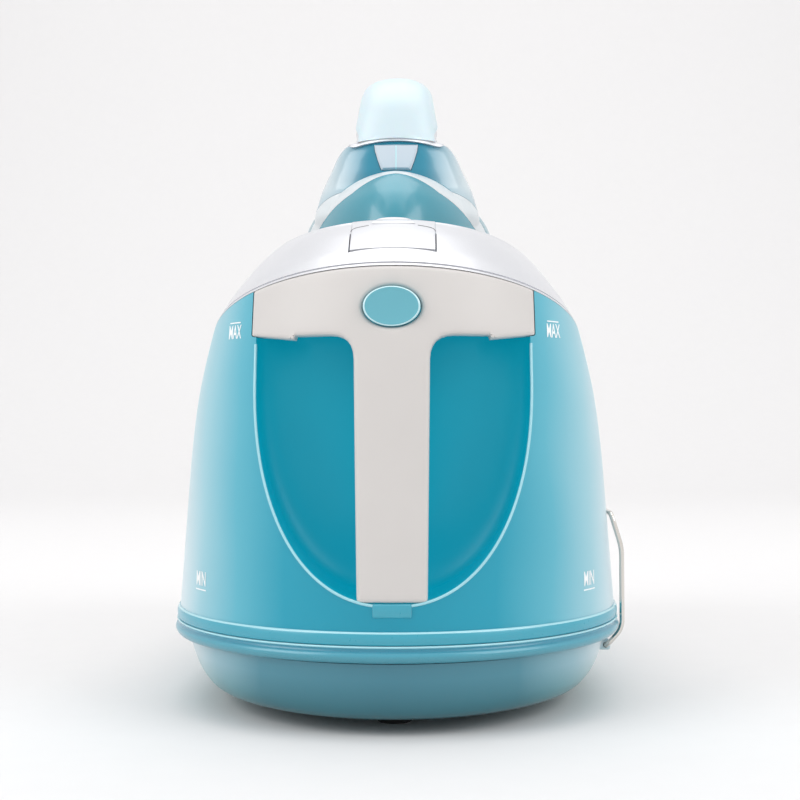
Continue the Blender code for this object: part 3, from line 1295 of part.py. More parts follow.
def iron_ring(z, wide_share=1.0, nose_share=1.0, heel_share=1.0, inset=0.0):
    """One ring of the iron's outline, pointed at the nose and square at the heel."""
    points = plan(
        IRON_HALF_WIDTH * wide_share - inset,
        IRON_WIDEST,
        (IRON_HALF_LENGTH + IRON_WIDEST) * nose_share - inset,
        (IRON_HALF_LENGTH - IRON_WIDEST) * heel_share - inset,
        NOSE_CURVE_SHARES,
        HEEL_CURVE_SHARES,
    )
    return [Vector((x, y, z)) for x, y in points]


def iron_body_rings(inset=0.0, below=0.0):
    """Rings of the iron's body, or of its hollow."""
    rings = []
    for share, wide, nose_share, heel_share in IRON_BODY_SHARES:
        z = BODY_BOTTOM + share * (BODY_TOP - BODY_BOTTOM - inset)
        rings.append(iron_ring(z, wide, nose_share, heel_share, inset))
    if below:
        _, wide, nose_share, heel_share = IRON_BODY_SHARES[0]
        rings.insert(0, iron_ring(BODY_BOTTOM - below, wide, nose_share, heel_share, inset))
    return rings


def iron_slab(name, low, high):
    """A slab along the sloping stripe, between two heights over its plane."""
    slab = add_cutter(name, box(name, (-1.0, -1.0, low), (1.0, 1.0, high)), iron_frame)
    slab.location = (0.0, STRIPE_Y, STRIPE_Z)
    slab.rotation_euler = (-STRIPE_ANGLE, 0.0, 0.0)
    return slab


def make_iron_body():
    """Sole, steam chamber, skirt, and the shell in four pieces: hood, stripe, upper and heel."""
    sole_rings = [
        iron_ring(0.0, inset=SOLE_CHAMFER),
        iron_ring(SOLE_CHAMFER),
        iron_ring(SOLE_THICKNESS),
    ]
    add_part("soleplate", loft("soleplate", sole_rings), SOLE, parent=iron_frame)
    skirt_bottom = SOLE_THICKNESS + GAP
    skirt_rings = [iron_ring(skirt_bottom, inset=SKIRT_INSET), iron_ring(SKIRT_TOP, inset=SKIRT_INSET)]
    skirt = add_part("sole_skirt", loft("sole_skirt", skirt_rings), DARK, parent=iron_frame)
    inside = SKIRT_INSET + SKIRT_WALL
    hollow_rings = [iron_ring(skirt_bottom - WALL, inset=inside), iron_ring(SKIRT_TOP + WALL, inset=inside)]
    boolean(skirt, add_cutter("skirt_hollow", loft("skirt_hollow", hollow_rings), iron_frame))
    chamber_rings = [iron_ring(z, *CHAMBER_SHARES) for z in (skirt_bottom, HEATER_BLOCK_TOP)]
    add_part("steam_chamber", loft("steam_chamber", chamber_rings), METAL, parent=iron_frame)

    hollow_mesh = loft("iron_hollow", iron_body_rings(IRON_BODY_WALL, OVERRUN))
    hollow = add_cutter("iron_hollow", hollow_mesh, iron_frame)
    heel_low = (-1.0, HEEL_Y, -1.0)
    heel_box = add_cutter("iron_heel", box("iron_heel", heel_low, (1.0, 1.0, 1.0)), iron_frame)
    heel_low = (-1.0, HEEL_Y + GAP, -1.0)
    heel_keep = add_cutter("heel_keep", box("heel_keep", heel_low, (1.0, 1.0, 1.0)), iron_frame)
    pieces = [
        ("iron_hood", BUTTON, "DIFFERENCE", iron_slab("above_hood", 0.0, 1.0)),
        ("front_stripe", WHITE, "INTERSECT", iron_slab("stripe_slab", GAP, GAP + STRIPE_THICKNESS)),
        ("upper_shell", TEAL, "DIFFERENCE", iron_slab("under_upper", -1.0, 2 * GAP + STRIPE_THICKNESS)),
        ("heel_cover", WHITE, "INTERSECT", heel_keep),
    ]
    for name, material, operation, cutter in pieces:
        piece = add_part(name, loft(name, iron_body_rings()), material, parent=iron_frame)
        boolean(piece, hollow)
        boolean(piece, cutter, operation)
        if name == "upper_shell":
            boolean(piece, heel_box)
    return piece


def handle_rings(first, last, grow_outer=0.0, grow_inner=None):
    """Rings along the iron's handle: whole ovals, or a curved strip over its outer side."""
    rows = HANDLE_LINE
    rings = []
    for i in range(first, last + 1):
        y, z, wide, thick = rows[i]
        before = rows[max(i - 1, 0)]
        after = rows[min(i + 1, len(rows) - 1)]
        along = Vector((0.0, after[0] - before[0], after[1] - before[1])).normalized()
        if i == 0:
            along = Vector((0.0, 0.0, 1.0))
        if i == len(rows) - 1:
            along = Vector((0.0, 0.0, -1.0))
        out = Vector((0.0, -along.z, along.y))
        centre = Vector((0.0, y, z))
        if grow_inner is not None and i == first:
            centre += along * CAP_LIFT
        ring = []
        if grow_inner is None:
            for step in range(HANDLE_SIDES):
                turn = math.tau * step / HANDLE_SIDES
                ring.append(oval_point(centre, out, wide + grow_outer, thick + grow_outer, turn))
        else:
            facet = math.tau / HANDLE_SIDES
            facets = [max(-CAP_FACETS_SHARE, min(CAP_FACETS_SHARE, step)) for step in range(-6, 7)]
            turns = [math.pi / 2 + facet * step for step in facets]
            for turn in turns:
                ring.append(oval_point(centre, out, wide + grow_outer, thick + grow_outer, turn))
            for turn in reversed(turns):
                ring.append(oval_point(centre, out, wide + grow_inner, thick + grow_inner, turn))
        rings.append(ring)
    return rings


def oval_point(centre, out, wide, thick, turn):
    across = wide * signed_power(math.cos(turn), HANDLE_CURVE_SHARE)
    up = thick * signed_power(math.sin(turn), HANDLE_CURVE_SHARE)
    return centre + Vector((across, 0.0, 0.0)) + out * up


def make_iron_handle():
    """The handle with its cap, its lens and the steam trigger under it."""
    last = len(HANDLE_LINE) - 1
    handle = add_part("iron_handle", loft("iron_handle", handle_rings(0, last)), TEAL, parent=iron_frame)
    cap_rings = handle_rings(CAP_FIRST_ROW, CAP_LAST_ROW, GAP + CAP_THICKNESS, GAP)
    add_part("handle_cap", loft("handle_cap", cap_rings), AQUA, parent=iron_frame)

    lens_low = Vector((-LENS_HALF_WIDTH, LENS_FRONT_Y, LENS_BOTTOM))
    lens_high = Vector((LENS_HALF_WIDTH, LENS_FRONT_Y + LENS_DEPTH, LENS_TOP))
    spare = Vector((GAP, GAP, GAP))
    seat = box("lens_seat", lens_low - spare, lens_high + spare)
    boolean(handle, add_cutter("lens_seat", seat, iron_frame))
    add_part("handle_lens", box("handle_lens", lens_low, lens_high), CLEAR, parent=iron_frame)

    slot_low = (-TRIGGER_HALF_WIDTH - GAP, TRIGGER_FRONT - TRIGGER_SWING, TRIGGER_BOTTOM - TRIGGER_SWING)
    slot_high = (TRIGGER_HALF_WIDTH + GAP, TRIGGER_BACK + GAP, TRIGGER_SLOT_TOP)
    boolean(handle, add_cutter("trigger_slot", box("trigger_slot", slot_low, slot_high), iron_frame))
    pin_y = TRIGGER_BACK - TRIGGER_PIN_RADIUS * 1.5
    pin_z = TRIGGER_TOP - TRIGGER_PIN_RADIUS * 1.8
    reach = TRIGGER_HALF_WIDTH + TRIGGER_PIN_REACH
    radius = TRIGGER_PIN_RADIUS

    def pin(name, grow):
        start = (-reach - grow, pin_y, pin_z)
        return rod(name, start, (reach + grow, pin_y, pin_z), radius + grow, SMALL_SIDES)

    boolean(handle, add_cutter("trigger_pin_hole", pin("trigger_pin_hole", GAP), iron_frame))
    trigger_low = (-TRIGGER_HALF_WIDTH, TRIGGER_FRONT, TRIGGER_BOTTOM)
    trigger_high = (TRIGGER_HALF_WIDTH, TRIGGER_BACK, TRIGGER_TOP)
    mesh = box("steam_trigger", trigger_low, trigger_high)
    trigger = add_part("steam_trigger", mesh, BUTTON, (0.0, pin_y, pin_z), iron_frame)
    boolean(trigger, add_cutter("trigger_pin", pin("trigger_pin", 0.0), iron_frame), "UNION")
    spring_y = TRIGGER_FRONT + SPRING_RADIUS
    start = (0.0, spring_y, TRIGGER_TOP + GAP + SPRING_WIRE)
    end = (0.0, spring_y, TRIGGER_SLOT_TOP - GAP - SPRING_WIRE)
    small = SPRING_RADIUS * 0.6
    tube("trigger_spring", coil(start, end, small, 2), SPRING_WIRE, STEEL, iron_frame, resolution=1)


def make_iron_socket(heel_cover):
    """The boss on the heel that the steam hose runs into, and the tube inside the iron."""
    share = (IRON_SOCKET_HEIGHT - BODY_BOTTOM) / (BODY_TOP - BODY_BOTTOM)
    heel_y = IRON_WIDEST + (IRON_HALF_LENGTH - IRON_WIDEST) * row_at(IRON_BODY_SHARES, share)[2]
    neck = IRON_SOCKET_RADIUS - FLANGE_RIM
    depth = 2 * IRON_BODY_WALL
    profile = plug_profile(neck, depth, IRON_SOCKET_LENGTH, FLANGE_RIM, IRON_SOCKET_LENGTH / 2)
    spot = Vector((0.0, heel_y + FLANGE_THICKNESS, IRON_SOCKET_HEIGHT))
    turned("iron_hose_socket", profile, RUBBER, spot, (0, 1, 0), parent=iron_frame)
    reach = Vector((0.0, 3 * IRON_BODY_WALL, 0.0))
    hole = rod("socket_hole", spot - reach, spot + reach, neck + GAP)
    boolean(heel_cover, add_cutter("socket_hole", hole, iron_frame))
    inside_y = spot.y - depth - GAP
    reach = inside_y - IRON_WIDEST
    rise = IRON_SOCKET_HEIGHT - HEATER_BLOCK_TOP
    route = [
        (0.0, inside_y, IRON_SOCKET_HEIGHT),
        (0.0, inside_y - reach * 0.12, IRON_SOCKET_HEIGHT),
        (0.0, inside_y - reach * 0.50, IRON_SOCKET_HEIGHT - rise * 0.1),
        (0.0, inside_y - reach * 0.65, HEATER_BLOCK_TOP + rise * 0.3),
        (0.0, inside_y - reach * 0.65, HEATER_BLOCK_TOP + GAP),
    ]
    tube("iron_steam_tube", smooth_route(route, 3), TUBE_RADIUS, SILICONE, iron_frame)


make_base()
make_clip()
make_tank()
make_tank_fittings()
make_housing()
make_connectors()
make_frame()
make_tongue()
make_hook()
make_panel()
make_works()
make_iron_socket(make_iron_body())
make_iron_handle()
bpy.context.view_layer.update()
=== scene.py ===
"""The looks of the steam ironing station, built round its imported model. Metres, Z up, front towards -Y."""

import json
import math

import bmesh
import bpy
from mathutils import Matrix, Vector, geometry


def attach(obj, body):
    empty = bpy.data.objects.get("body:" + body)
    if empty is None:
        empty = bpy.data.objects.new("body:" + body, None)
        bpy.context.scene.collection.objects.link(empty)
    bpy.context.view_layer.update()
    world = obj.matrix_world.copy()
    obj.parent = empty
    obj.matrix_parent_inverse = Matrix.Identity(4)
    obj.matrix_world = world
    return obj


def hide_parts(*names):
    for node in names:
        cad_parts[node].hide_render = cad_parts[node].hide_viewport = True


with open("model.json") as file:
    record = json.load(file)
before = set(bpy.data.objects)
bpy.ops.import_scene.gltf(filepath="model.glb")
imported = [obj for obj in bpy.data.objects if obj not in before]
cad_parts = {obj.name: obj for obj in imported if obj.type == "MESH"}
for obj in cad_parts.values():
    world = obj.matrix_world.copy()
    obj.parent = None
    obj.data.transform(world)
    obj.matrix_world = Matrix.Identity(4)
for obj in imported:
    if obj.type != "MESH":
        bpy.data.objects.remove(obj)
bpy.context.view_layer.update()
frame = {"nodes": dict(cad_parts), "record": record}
scene = bpy.context.scene

GAP = 0.0003
FINE = 176

# The body: its plan at the rim, and its heights
HALF_WIDTH = 0.1168
WIDEST_Y = -0.078
FRONT_REACH = 0.120
REAR_REACH = 0.276
REAR_POWERS = (0.77, 0.77)
TRAY = (0.0066, 0.0281)
RIM = (0.035, 0.0083)
TANK_FOOT = (0.0434, 0.0062)
UPPER = (0.0496, 0.200)
PARTING_Y = -0.062
WALL = 0.0025

# Rows of each outline: share of the height, of the half width, of the front reach and of the rear reach
TRAY_ROWS = [
    (0.0, 0.750, 0.842, 0.900),
    (0.07, 0.808, 0.897, 0.928),
    (0.18, 0.845, 0.923, 0.946),
    (0.40, 0.885, 0.942, 0.960),
    (0.70, 0.916, 0.955, 0.969),
    (1.0, 0.936, 0.963, 0.977),
]
# The rim has a broad lower roll, a soft hollow over it, and a thin bead along its top
RIM_ROWS = [
    (0.0, 0.962, 0.962, 0.980),
    (0.06, 0.983, 0.983, 0.991),
    (0.22, 0.995, 0.995, 0.998),
    (0.42, 0.9995, 0.9995, 0.9998),
    (0.58, 0.996, 0.996, 0.998),
    (0.68, 0.9885, 0.9885, 0.994),
    (0.78, 0.985, 0.985, 0.992),
    (0.86, 0.987, 0.987, 0.993),
    (0.90, 0.9925, 0.9925, 0.996),
    (0.95, 0.9945, 0.9945, 0.997),
    (1.0, 0.991, 0.991, 0.995),
]
# Over this share of the rim's height its bead is painted pale, as a painted highlight line
BEAD_SHARE = 0.88
TANK_FOOT_ROWS = [
    (0.0, 0.984, 0.984, 0.990),
    (0.10, 0.990, 0.990, 0.995),
    (0.45, 0.992, 0.992, 0.996),
    (0.80, 0.9895, 0.9895, 0.994),
    (0.92, 0.9865, 0.9865, 0.992),
    (1.0, 0.981, 0.981, 0.988),
]
UPPER_ROWS = [
    (0.0, 0.978, 0.977, 0.9855),
    (0.127, 0.961, 0.9625, 0.978),
    (0.262, 0.9435, 0.946, 0.969),
    (0.395, 0.925, 0.929, 0.9565),
    (0.527, 0.897, 0.908, 0.935),
    (0.662, 0.8476, 0.879, 0.906),
    (0.777, 0.792, 0.8375, 0.870),
    (0.902, 0.719, 0.779, 0.815),
    (1.0, 0.651, 0.717, 0.760),
]

# The sloping tops, and the silver frame's lip
TANK_TOP = 0.2175
TANK_FRONT_Y = -0.17499
TANK_ANGLE = math.radians(17.3)
HOUSING_ANGLE = math.radians(10.0)
LIP_HALF_WIDTH = 0.073
LIP_Y = -0.040
LIP_FRONT = 0.098
LIP_REAR = 0.216
LIP_HEIGHT = 0.244
LIP_WIDTH = 0.0048
LIP_POWERS = (0.67, 0.67)
LEDGE_TOP = 0.0186
LEDGE_WIDTH = 0.006
LEDGE_THICKNESS = 0.003
FRAME_WALL = 0.003
LIP_DROP = 0.0010
# How far the frame's wall stands out of the straight line from foot to lip, by its share of the way
BULGE_ROWS = [(0.0, 0.0), (0.35, 0.0027), (0.70, 0.0030), (0.93, 0.0018), (1.0, 0.0010)]
# Four times what the frame's front, where the tongue lies, stands out half way up
FRONT_BOW = 0.012
# The line pressed in just over the frame's foot, as (share of the way, how far it stands out)
FOOT_LINE = [(0.015, 0.0002), (0.035, 0.0005), (0.042, -0.0002), (0.060, -0.0002), (0.070, 0.0008)]
# The round of the lip's top, as (inset from its outer edge, drop)
LIP_ROLL = [(0.0, 0.0010), (0.0002, 0.0005), (0.0006, 0.0001), (0.0012, 0.0),
            (0.0036, 0.0), (0.0042, 0.0001), (0.0046, 0.0005)]

# The T handle, the hand recess and the button
BAR_HALF_WIDTH = 0.0682
BAR_BOTTOM = 0.1850
BAR_STEP_X = 0.0460
BAR_STEP = 0.0018
BAR_END_BOTTOM = 0.1858
STEM_TOP = 0.0178
STEM_FOOT = 0.0162
STEM_FOOT_Z = 0.0625
FILLET = 0.0115
HANDLE_DEPTH = 0.014
HANDLE_PROUD = 0.0008
HANDLE_EDGE = 0.0022
HANDLE_BACK_Y = -0.1415
NOTCH_BACK_Y = -0.1412
# The lug under the stem: its half width, its foot and its top
LUG = (0.009, 0.0557, 0.0622)
RECESS_HALF_WIDTH = 0.0658
RECESS_BOTTOM = 0.061
RECESS_CURVE_TOP = 0.165
RECESS_TOP = 0.1985
RECESS_BACK_Y = -0.138
RECESS_CURVE = 0.889
RECESS_ROUND = (0.030, 0.014)
BUTTON_SIZE = (0.0134, 0.0094)
BUTTON_Z = 0.198
# The button from its flat back over its rolled edge and its bevel, painted bright as a highlight, to its
# dished face:
# share of its size, and place from the handle's front, which is less than zero where it stands proud
BUTTON_STEPS = [
    (0.995, 0.0040), (1.0, 0.0036), (1.0, -0.0014), (0.992, -0.0018), (0.978, -0.0022), (0.962, -0.00245),
    (0.944, -0.0026), (0.930, -0.0026), (0.90, -0.00255), (0.70, -0.0024), (0.50, -0.0023), (0.25, -0.00225),
    (0.05, -0.0022),
]
# Between these shares of the button's size its bevel is painted pale, as a painted highlight line
BUTTON_BEVEL = (0.935, 0.995)
# The latch's slot in the handle: half width, place behind the tank's front, and depth
LATCH_SLOT = (0.0063, 0.003, 0.0043)
RECESS_LIP_RADIUS = 0.0007
RECESS_LIP_TOP = 0.184
# Over this share of the flange's height its edge is painted pale, as a painted highlight line
FLANGE_EDGE_SHARE = 0.86

# The lock tongue on the frame's front
TONGUE_HALF_WIDTH = 0.0205
TONGUE_FOOT = 0.36
TONGUE_THICKNESS = 0.003
TONGUE_GAP = 0.0006
TONGUE_DROP = 0.0001
NOTCH_ROOM = 0.00012
NOTCH_SHARE = 0.77
# The painted shade line at the tongue's upper corners, as (distance from the middle, share of the way)
TONGUE_CORNER = [(0.0206, 0.766), (0.0203, 0.795), (0.0196, 0.818), (0.0185, 0.835), (0.0165, 0.850),
                 (0.0140, 0.862), (0.0120, 0.870)]
THUMB_SHARE = 0.925
THUMB_SIZE = (0.0108, 0.0010, 0.0021)
# The hook behind it: the rest under the lip, the hook's underside over the rest, the room behind the wall,
# and how low the arch of its head starts
REST_DROP = 0.0122
HOOK_FLOOR = 0.0030
HOOK_ROOM = 0.0125
HOOK_ARCH = 0.0026
# An overrun for cuts
FAR = 0.05

# The marks: word, distance from the middle, height of its line, and how far over the line its letters stand
MARKS = [("MAX", 0.0782, 0.1932, -0.0050), ("MIN", 0.0952, 0.0622, 0.0050)]
LETTERS = {"size": 0.0096, "align_x": "CENTER", "align_y": "CENTER", "extrude": 0.00005, "offset": 0.00016}
LETTER_WIDTH = 0.36
MARK_LINE = (0.0064, 0.0006)
INK_PROUD = 0.00008

# The iron, on its own axes: X across, Y towards the heel, Z up from the sole
IRON_HALF_LENGTH = 0.118
IRON_HALF_WIDTH = 0.057
IRON_WIDEST = 0.022
IRON_NOSE_POWERS = (1.15, 1.0)
IRON_HEEL_POWERS = (0.5, 0.5)
IRON_BODY = (0.0108, 0.0412)
IRON_ROWS = [
    (0.0, 0.956, 0.932, 0.945),
    (0.175, 0.985, 0.925, 0.955),
    (0.42, 1.0, 0.905, 0.955),
    (0.59, 0.990, 0.885, 0.950),
    (0.72, 0.970, 0.860, 0.945),
    (0.83, 0.925, 0.835, 0.930),
    (0.95, 0.855, 0.800, 0.905),
    (1.0, 0.815, 0.778, 0.885),
    (1.05, 0.745, 0.745, 0.820),
    (1.09, 0.620, 0.705, 0.700),
]
# Seen from the side, the white stripe starts as a thin line over the nose and widens to the heel
STRIPE_LOW = [(-0.140, 0.0838), (-0.0898, 0.0499), (-0.0840, 0.0412), (-0.0589, 0.0300), (0.140, -0.0167)]
STRIPE_HIGH = [(-0.140, 0.0677), (-0.0821, 0.0541), (-0.0560, 0.0415), (-0.0200, 0.0300), (0.140, -0.0090)]
HEEL_Y = 0.0980
# Corners far outside the iron, which close the room under the stripe and the room over it
FAR_UNDER = [(0.140, -0.10), (-0.140, -0.10)]
FAR_OVER = [(0.140, 0.20), (-0.140, 0.20)]
IRON_WALL = 0.003
# The hole for the hose socket: its ends, height and radius
IRON_SOCKET = (0.09, 0.14, 0.040, 0.0053)
# Rings of the sole as (height, inset)
SOLE_STEPS = [(0.0, 0.0020), (0.0003, 0.0012), (0.0009, 0.0004),
              (0.0015, 0.0), (0.0033, 0.0), (0.0035, 0.0003)]
# Its handle: centre line, half width and half thickness from the nose end to the heel end
HANDLE_LINE = [
    (-0.0470, 0.0310, 0.0440, 0.0320),
    (-0.0475, 0.0375, 0.0455, 0.0300),
    (-0.0485, 0.0450, 0.0438, 0.0268),
    (-0.0500, 0.0525, 0.0416, 0.0235),
    (-0.0530, 0.0620, 0.0368, 0.0205),
    (-0.0550, 0.0750, 0.0294, 0.0165),
    (-0.0550, 0.0765, 0.0238, 0.0138),
    (-0.0540, 0.0925, 0.0192, 0.0122),
    (-0.0440, 0.1078, 0.0172, 0.0108),
    (-0.0180, 0.1135, 0.0165, 0.0098),
    (0.0200, 0.1130, 0.0157, 0.0100),
    (0.0570, 0.1035, 0.0157, 0.0100),
    (0.0820, 0.0845, 0.0172, 0.0105),
    (0.0920, 0.0650, 0.0215, 0.0125),
    (0.0930, 0.0525, 0.0270, 0.0145),
    (0.0925, 0.0430, 0.0330, 0.0165),
]
HANDLE_CURVE = 0.88
# The stretch at each end of its line in which it turns square to the shell
HANDLE_END = 0.006
# The row at which the front leg's foot ends in the shell
LEG_ROW = 4
CAP_ROWS = (6, 12)
CAP_THICKNESS = 0.0025
CAP_TURN = math.radians(100.8)
CAP_FRONT_TURN = math.radians(54.0)
# The cap's front edge: the depth of its arch, and where its corners start, how wide and how deep they are
CAP_ARCH = 0.0022
CAP_CORNER = (0.62, 0.38, 0.0068)
CAP_OVERHANG = 0.0020
CAP_GRID = (120, 72)
TRIM_REACH = 0.0019
TRIM_PROUD = 0.0013
TRIM_SPREAD = math.radians(7.0)
LENS_Y = -0.0742
LENS_DEPTH = 0.0030
LENS_HEIGHTS = (0.0580, 0.0722)
# The lens's right side as (distance from the middle, height over its foot)
LENS_SIDE = [(0.0079, 0.0), (0.0097, 0.0050), (0.0113, 0.0105), (0.0118, 0.0142)]
LENS_SEAM = 0.0004
LENS_TILT = 0.0005
# The lens from its back to its face, as (depth, inset, how far its ends draw in)
LENS_STEPS = [(LENS_DEPTH, 0.0, 0.0), (0.0012, 0.0, 0.0), (0.0, 0.0011, 0.0009)]
TRIGGER_SLOT = ((-0.0088, -0.0348, 0.0967), (0.0088, -0.0057, 0.1140))
# The hole for the trigger's pin: reach to each side, y, z, radius
TRIGGER_PIN = (0.0113, -0.0078, 0.10584, 0.0015)

# The wire clip at the base's side, and the ear that carries it
CLIP_PIVOT = (0.1095, 0.0265)
CLIP_ENDS = (-0.092, -0.030)
CLIP_RADIUS = 0.0013
CLIP_PLAY = 0.0002
CLIP_TUCK = 0.007
CLIP_BEND = 0.0045
CLIP_SIDE = [(0.1095, 0.0265), (0.1177, 0.0355), (0.1176, 0.0776), (0.1122, 0.0955)]
EAR = ((0.098, -0.0895, 0.0238), (0.1120, -0.0325, 0.0292))
# The tank's valve and filler, and the back of the housing
HOUSING_Y = PARTING_Y + 0.0006
VALVE_Z = 0.066
VALVE_RADIUS = 0.0113
SPOUT_RADIUS = 0.0051
# The filler flap on the sloping top: x, y, half width, half length; its pin: y, z, radius, reach to each side
FLAP = (-0.045, 0.070, 0.016, 0.013)
FLAP_PIN = (0.0823, -0.0014, 0.0009, 0.0180)
BAY = ((-0.060, 0.163, 0.056), (0.060, 0.198, 0.124))
BAY_MOUTH_Y = 0.1455

# Places: the tank's sloping top, and the iron on its rest
TANK_FRONT_PLANE = (0.0, TANK_FRONT_Y, TANK_TOP)
IRON_PLACE = Matrix.Translation((0.0, -0.01179, 0.20955)) @ Matrix.Rotation(-HOUSING_ANGLE, 4, "X")
TOP_PLACE = Matrix.Translation(TANK_FRONT_PLANE) @ Matrix.Rotation(-TANK_ANGLE, 4, "X")

# What repeats are small plates, each with its width, length, height and corner
PLATE_SIZES = ("Width", "Length", "Height", "Corner")
HOLE_SIZE = (0.0026, 0.0026, 0.00003, 0.0012)
RIB_SIZE = (0.0011, 0.0100, 0.0008, 0.0004)
VENT_SIZE = (0.0020, 0.0200, 0.0003, 0.0009)
SCREW_SIZE = (0.0062, 0.0062, 0.0011, 0.0030)
SLOT_SIZE = (0.0009, 0.0042, 0.00005, 0.0003)
# Rows of steam holes as (inset from the sole's edge, every how many points of its outline)
HOLE_ROWS = [(0.010, 4), (0.018, 5), (0.027, 7)]
RIB_STEP = 0.0028
VENT_STEP = 0.0052
# Shares of the housing's height at the vents' foot and at a place over it, and the vents' first and last y
VENT_SHARES = (0.085, 0.115)
VENT_ENDS = (0.045, 0.125)
SCREWS = [(0.045, -0.128), (0.052, 0.020), (0.036, 0.150)]

# The studio: the paper's roll, the lamps as (place, aim, side, power), and the camera
SWEEP_START = 1.6
SWEEP_RADIUS = 1.2
LIGHTS = {
    "soft_box_left": ((-2.6, -1.4, 1.9), (0.0, 0.2, 0.15), 2.2, 41.0),
    "soft_box_right": ((2.6, -1.4, 1.9), (0.0, 0.2, 0.15), 2.2, 37.0),
    "soft_box_over": ((0.0, 0.2, 3.0), (0.0, 0.3, 0.0), 3.0, 30.0),
    "backdrop_wash": ((0.0, 0.4, 2.6), (0.0, 2.8, 0.9), 2.6, 11.0),
}
CAMERA_LENS = 63.99
CAMERA_PLACE = (0.016, -0.838, 0.150)
CAMERA_ANGLES = (90.403, 0.2, 1.074)


def linear(code):
    """An sRGB hex colour as the linear values that a shader takes."""
    values = [int(code[i:i + 2], 16) / 255 for i in (0, 2, 4)]
    return tuple(v / 12.92 if v <= 0.04045 else ((v + 0.055) / 1.055) ** 2.4 for v in values) + (1.0,)


def add(tree, kind, settings=None, **links):
    """A node with its settings: a socket is linked to the input it is given for, other values are set."""
    node = tree.nodes.new(kind)
    for key, value in {**(settings or {}), **links}.items():
        if isinstance(value, bpy.types.NodeSocket):
            tree.links.new(value, node.inputs[key])
        elif isinstance(key, int) or key in node.inputs:
            node.inputs[key].default_value = value
        else:
            setattr(node, key, value)
    return node


def finish(name, colour, roughness, metallic=0.0, **values):
    """A material with its fixed values on the shader itself, and its Object coordinates."""
    made = bpy.data.materials.new(name)
    made.use_nodes = True
    tree = made.node_tree
    shader = tree.nodes["Principled BSDF"]
    values = {"Base Color": linear(colour), "Roughness": roughness, "Metallic": metallic, **values}
    for key, value in values.items():
        shader.inputs[key.replace("_", " ")].default_value = value
    return made, tree, shader, add(tree, "ShaderNodeTexCoord").outputs["Object"]


def wire(tree, shader, **sockets):
    """Links what drives the shader's inputs, whose names have an underscore here for each space."""
    for key, socket in sockets.items():
        tree.links.new(socket, shader.inputs[key.replace("_", " ")])


def moulded(name, pale, deep, roughness, grain_mm, depth_mm, **values):
    """A moulded plastic: slow flow marks in the colour, and the tool's grain in bump and gloss."""
    made, tree, shader, place = finish(name, pale, roughness, **values)
    # Flow marks about 40 mm long are what the eye reads as a moulding and not as paint
    flow = add(tree, "ShaderNodeTexNoise", {"Scale": 25.0, "Detail": 2.0}, Vector=place).outputs[0]
    tint = add(tree, "ShaderNodeMix", {"data_type": "RGBA", 6: linear(pale), 7: linear(deep)}, Factor=flow)
    size = {"Scale": 1000.0 / grain_mm, "Detail": 3.0}
    grain = add(tree, "ShaderNodeTexNoise", size, Vector=place).outputs[0]
    gloss = add(tree, "ShaderNodeMapRange", {3: roughness * 0.9, 4: roughness * 1.15}, Value=grain)
    bump = add(tree, "ShaderNodeBump", {"Distance": depth_mm / 1000.0, "Strength": 0.6}, Height=grain)
    wire(tree, shader, Base_Color=tint.outputs[2], Roughness=gloss.outputs[0], Normal=bump.outputs[0])
    return made


def brushed(name, colour, roughness, line_mm, stretch):
    """A metal with drawn or brushed lines: noise pulled out along one way of the piece."""
    made, tree, shader, place = finish(name, colour, roughness, 1.0)
    turn = add(tree, "ShaderNodeMapping", {"Scale": stretch}, Vector=place).outputs[0]
    size = {"Scale": 1000.0 / line_mm, "Detail": 4.0}
    lines = add(tree, "ShaderNodeTexNoise", size, Vector=turn).outputs[0]
    gloss = add(tree, "ShaderNodeMapRange", {3: roughness * 0.75, 4: roughness * 1.3}, Value=lines)
    bump = add(tree, "ShaderNodeBump", {"Distance": 0.00001, "Strength": 0.5}, Height=lines)
    wire(tree, shader, Roughness=gloss.outputs[0], Normal=bump.outputs[0])
    return made


def ramped(name, roughness, across=None, up=None, **values):
    """A tinted plastic whose tone changes, which paints light and shade into its colour: (reach, stops)
    sideways, and (low, high, stops) upwards.
    """
    made, tree, shader, place = finish(name, (across or up)[-1][0][1], roughness, **values)
    split = add(tree, "ShaderNodeSeparateXYZ", Vector=place).outputs
    fades = []
    if across:
        side = add(tree, "ShaderNodeMath", {"operation": "ABSOLUTE", 0: split["X"]}).outputs[0]
        # The tones wander by 6 mm, so that no two heights fade alike
        flow = add(tree, "ShaderNodeTexNoise", {"Scale": 14.0, "Detail": 1.0}, Vector=place).outputs[0]
        drift = add(tree, "ShaderNodeMapRange", {3: -0.006, 4: 0.006}, Value=flow).outputs[0]
        spot = add(tree, "ShaderNodeMath", {"operation": "ADD", 0: side, 1: drift}).outputs[0]
        fades.append((spot, 0.0, *across))
    if up:
        fades.append((split["Z"], *up))
    tones = []
    for value, low, high, stops in fades:
        fade = add(tree, "ShaderNodeMapRange", {1: low, 2: high, 3: 0.0, 4: 1.0}, Value=value)
        ramp = add(tree, "ShaderNodeValToRGB", {0: fade.outputs[0]})
        elements = ramp.color_ramp.elements
        while len(elements) < len(stops):
            elements.new(0.5)
        for element, (share, code) in zip(elements, stops):
            element.position = share
            element.color = linear(code)
        tones.append(ramp.outputs[0])
    if len(tones) == 2:
        both = {"data_type": "RGBA", "blend_type": "MULTIPLY", 0: 1.0, 6: tones[0], 7: tones[1]}
        tones = [add(tree, "ShaderNodeMix", both).outputs[2]]
    grain = add(tree, "ShaderNodeTexNoise", {"Scale": 1600.0, "Detail": 2.0}, Vector=place).outputs[0]
    gloss = add(tree, "ShaderNodeMapRange", {3: roughness * 0.92, 4: roughness * 1.1}, Value=grain)
    wire(tree, shader, Base_Color=tones[0], Roughness=gloss.outputs[0])
    return made
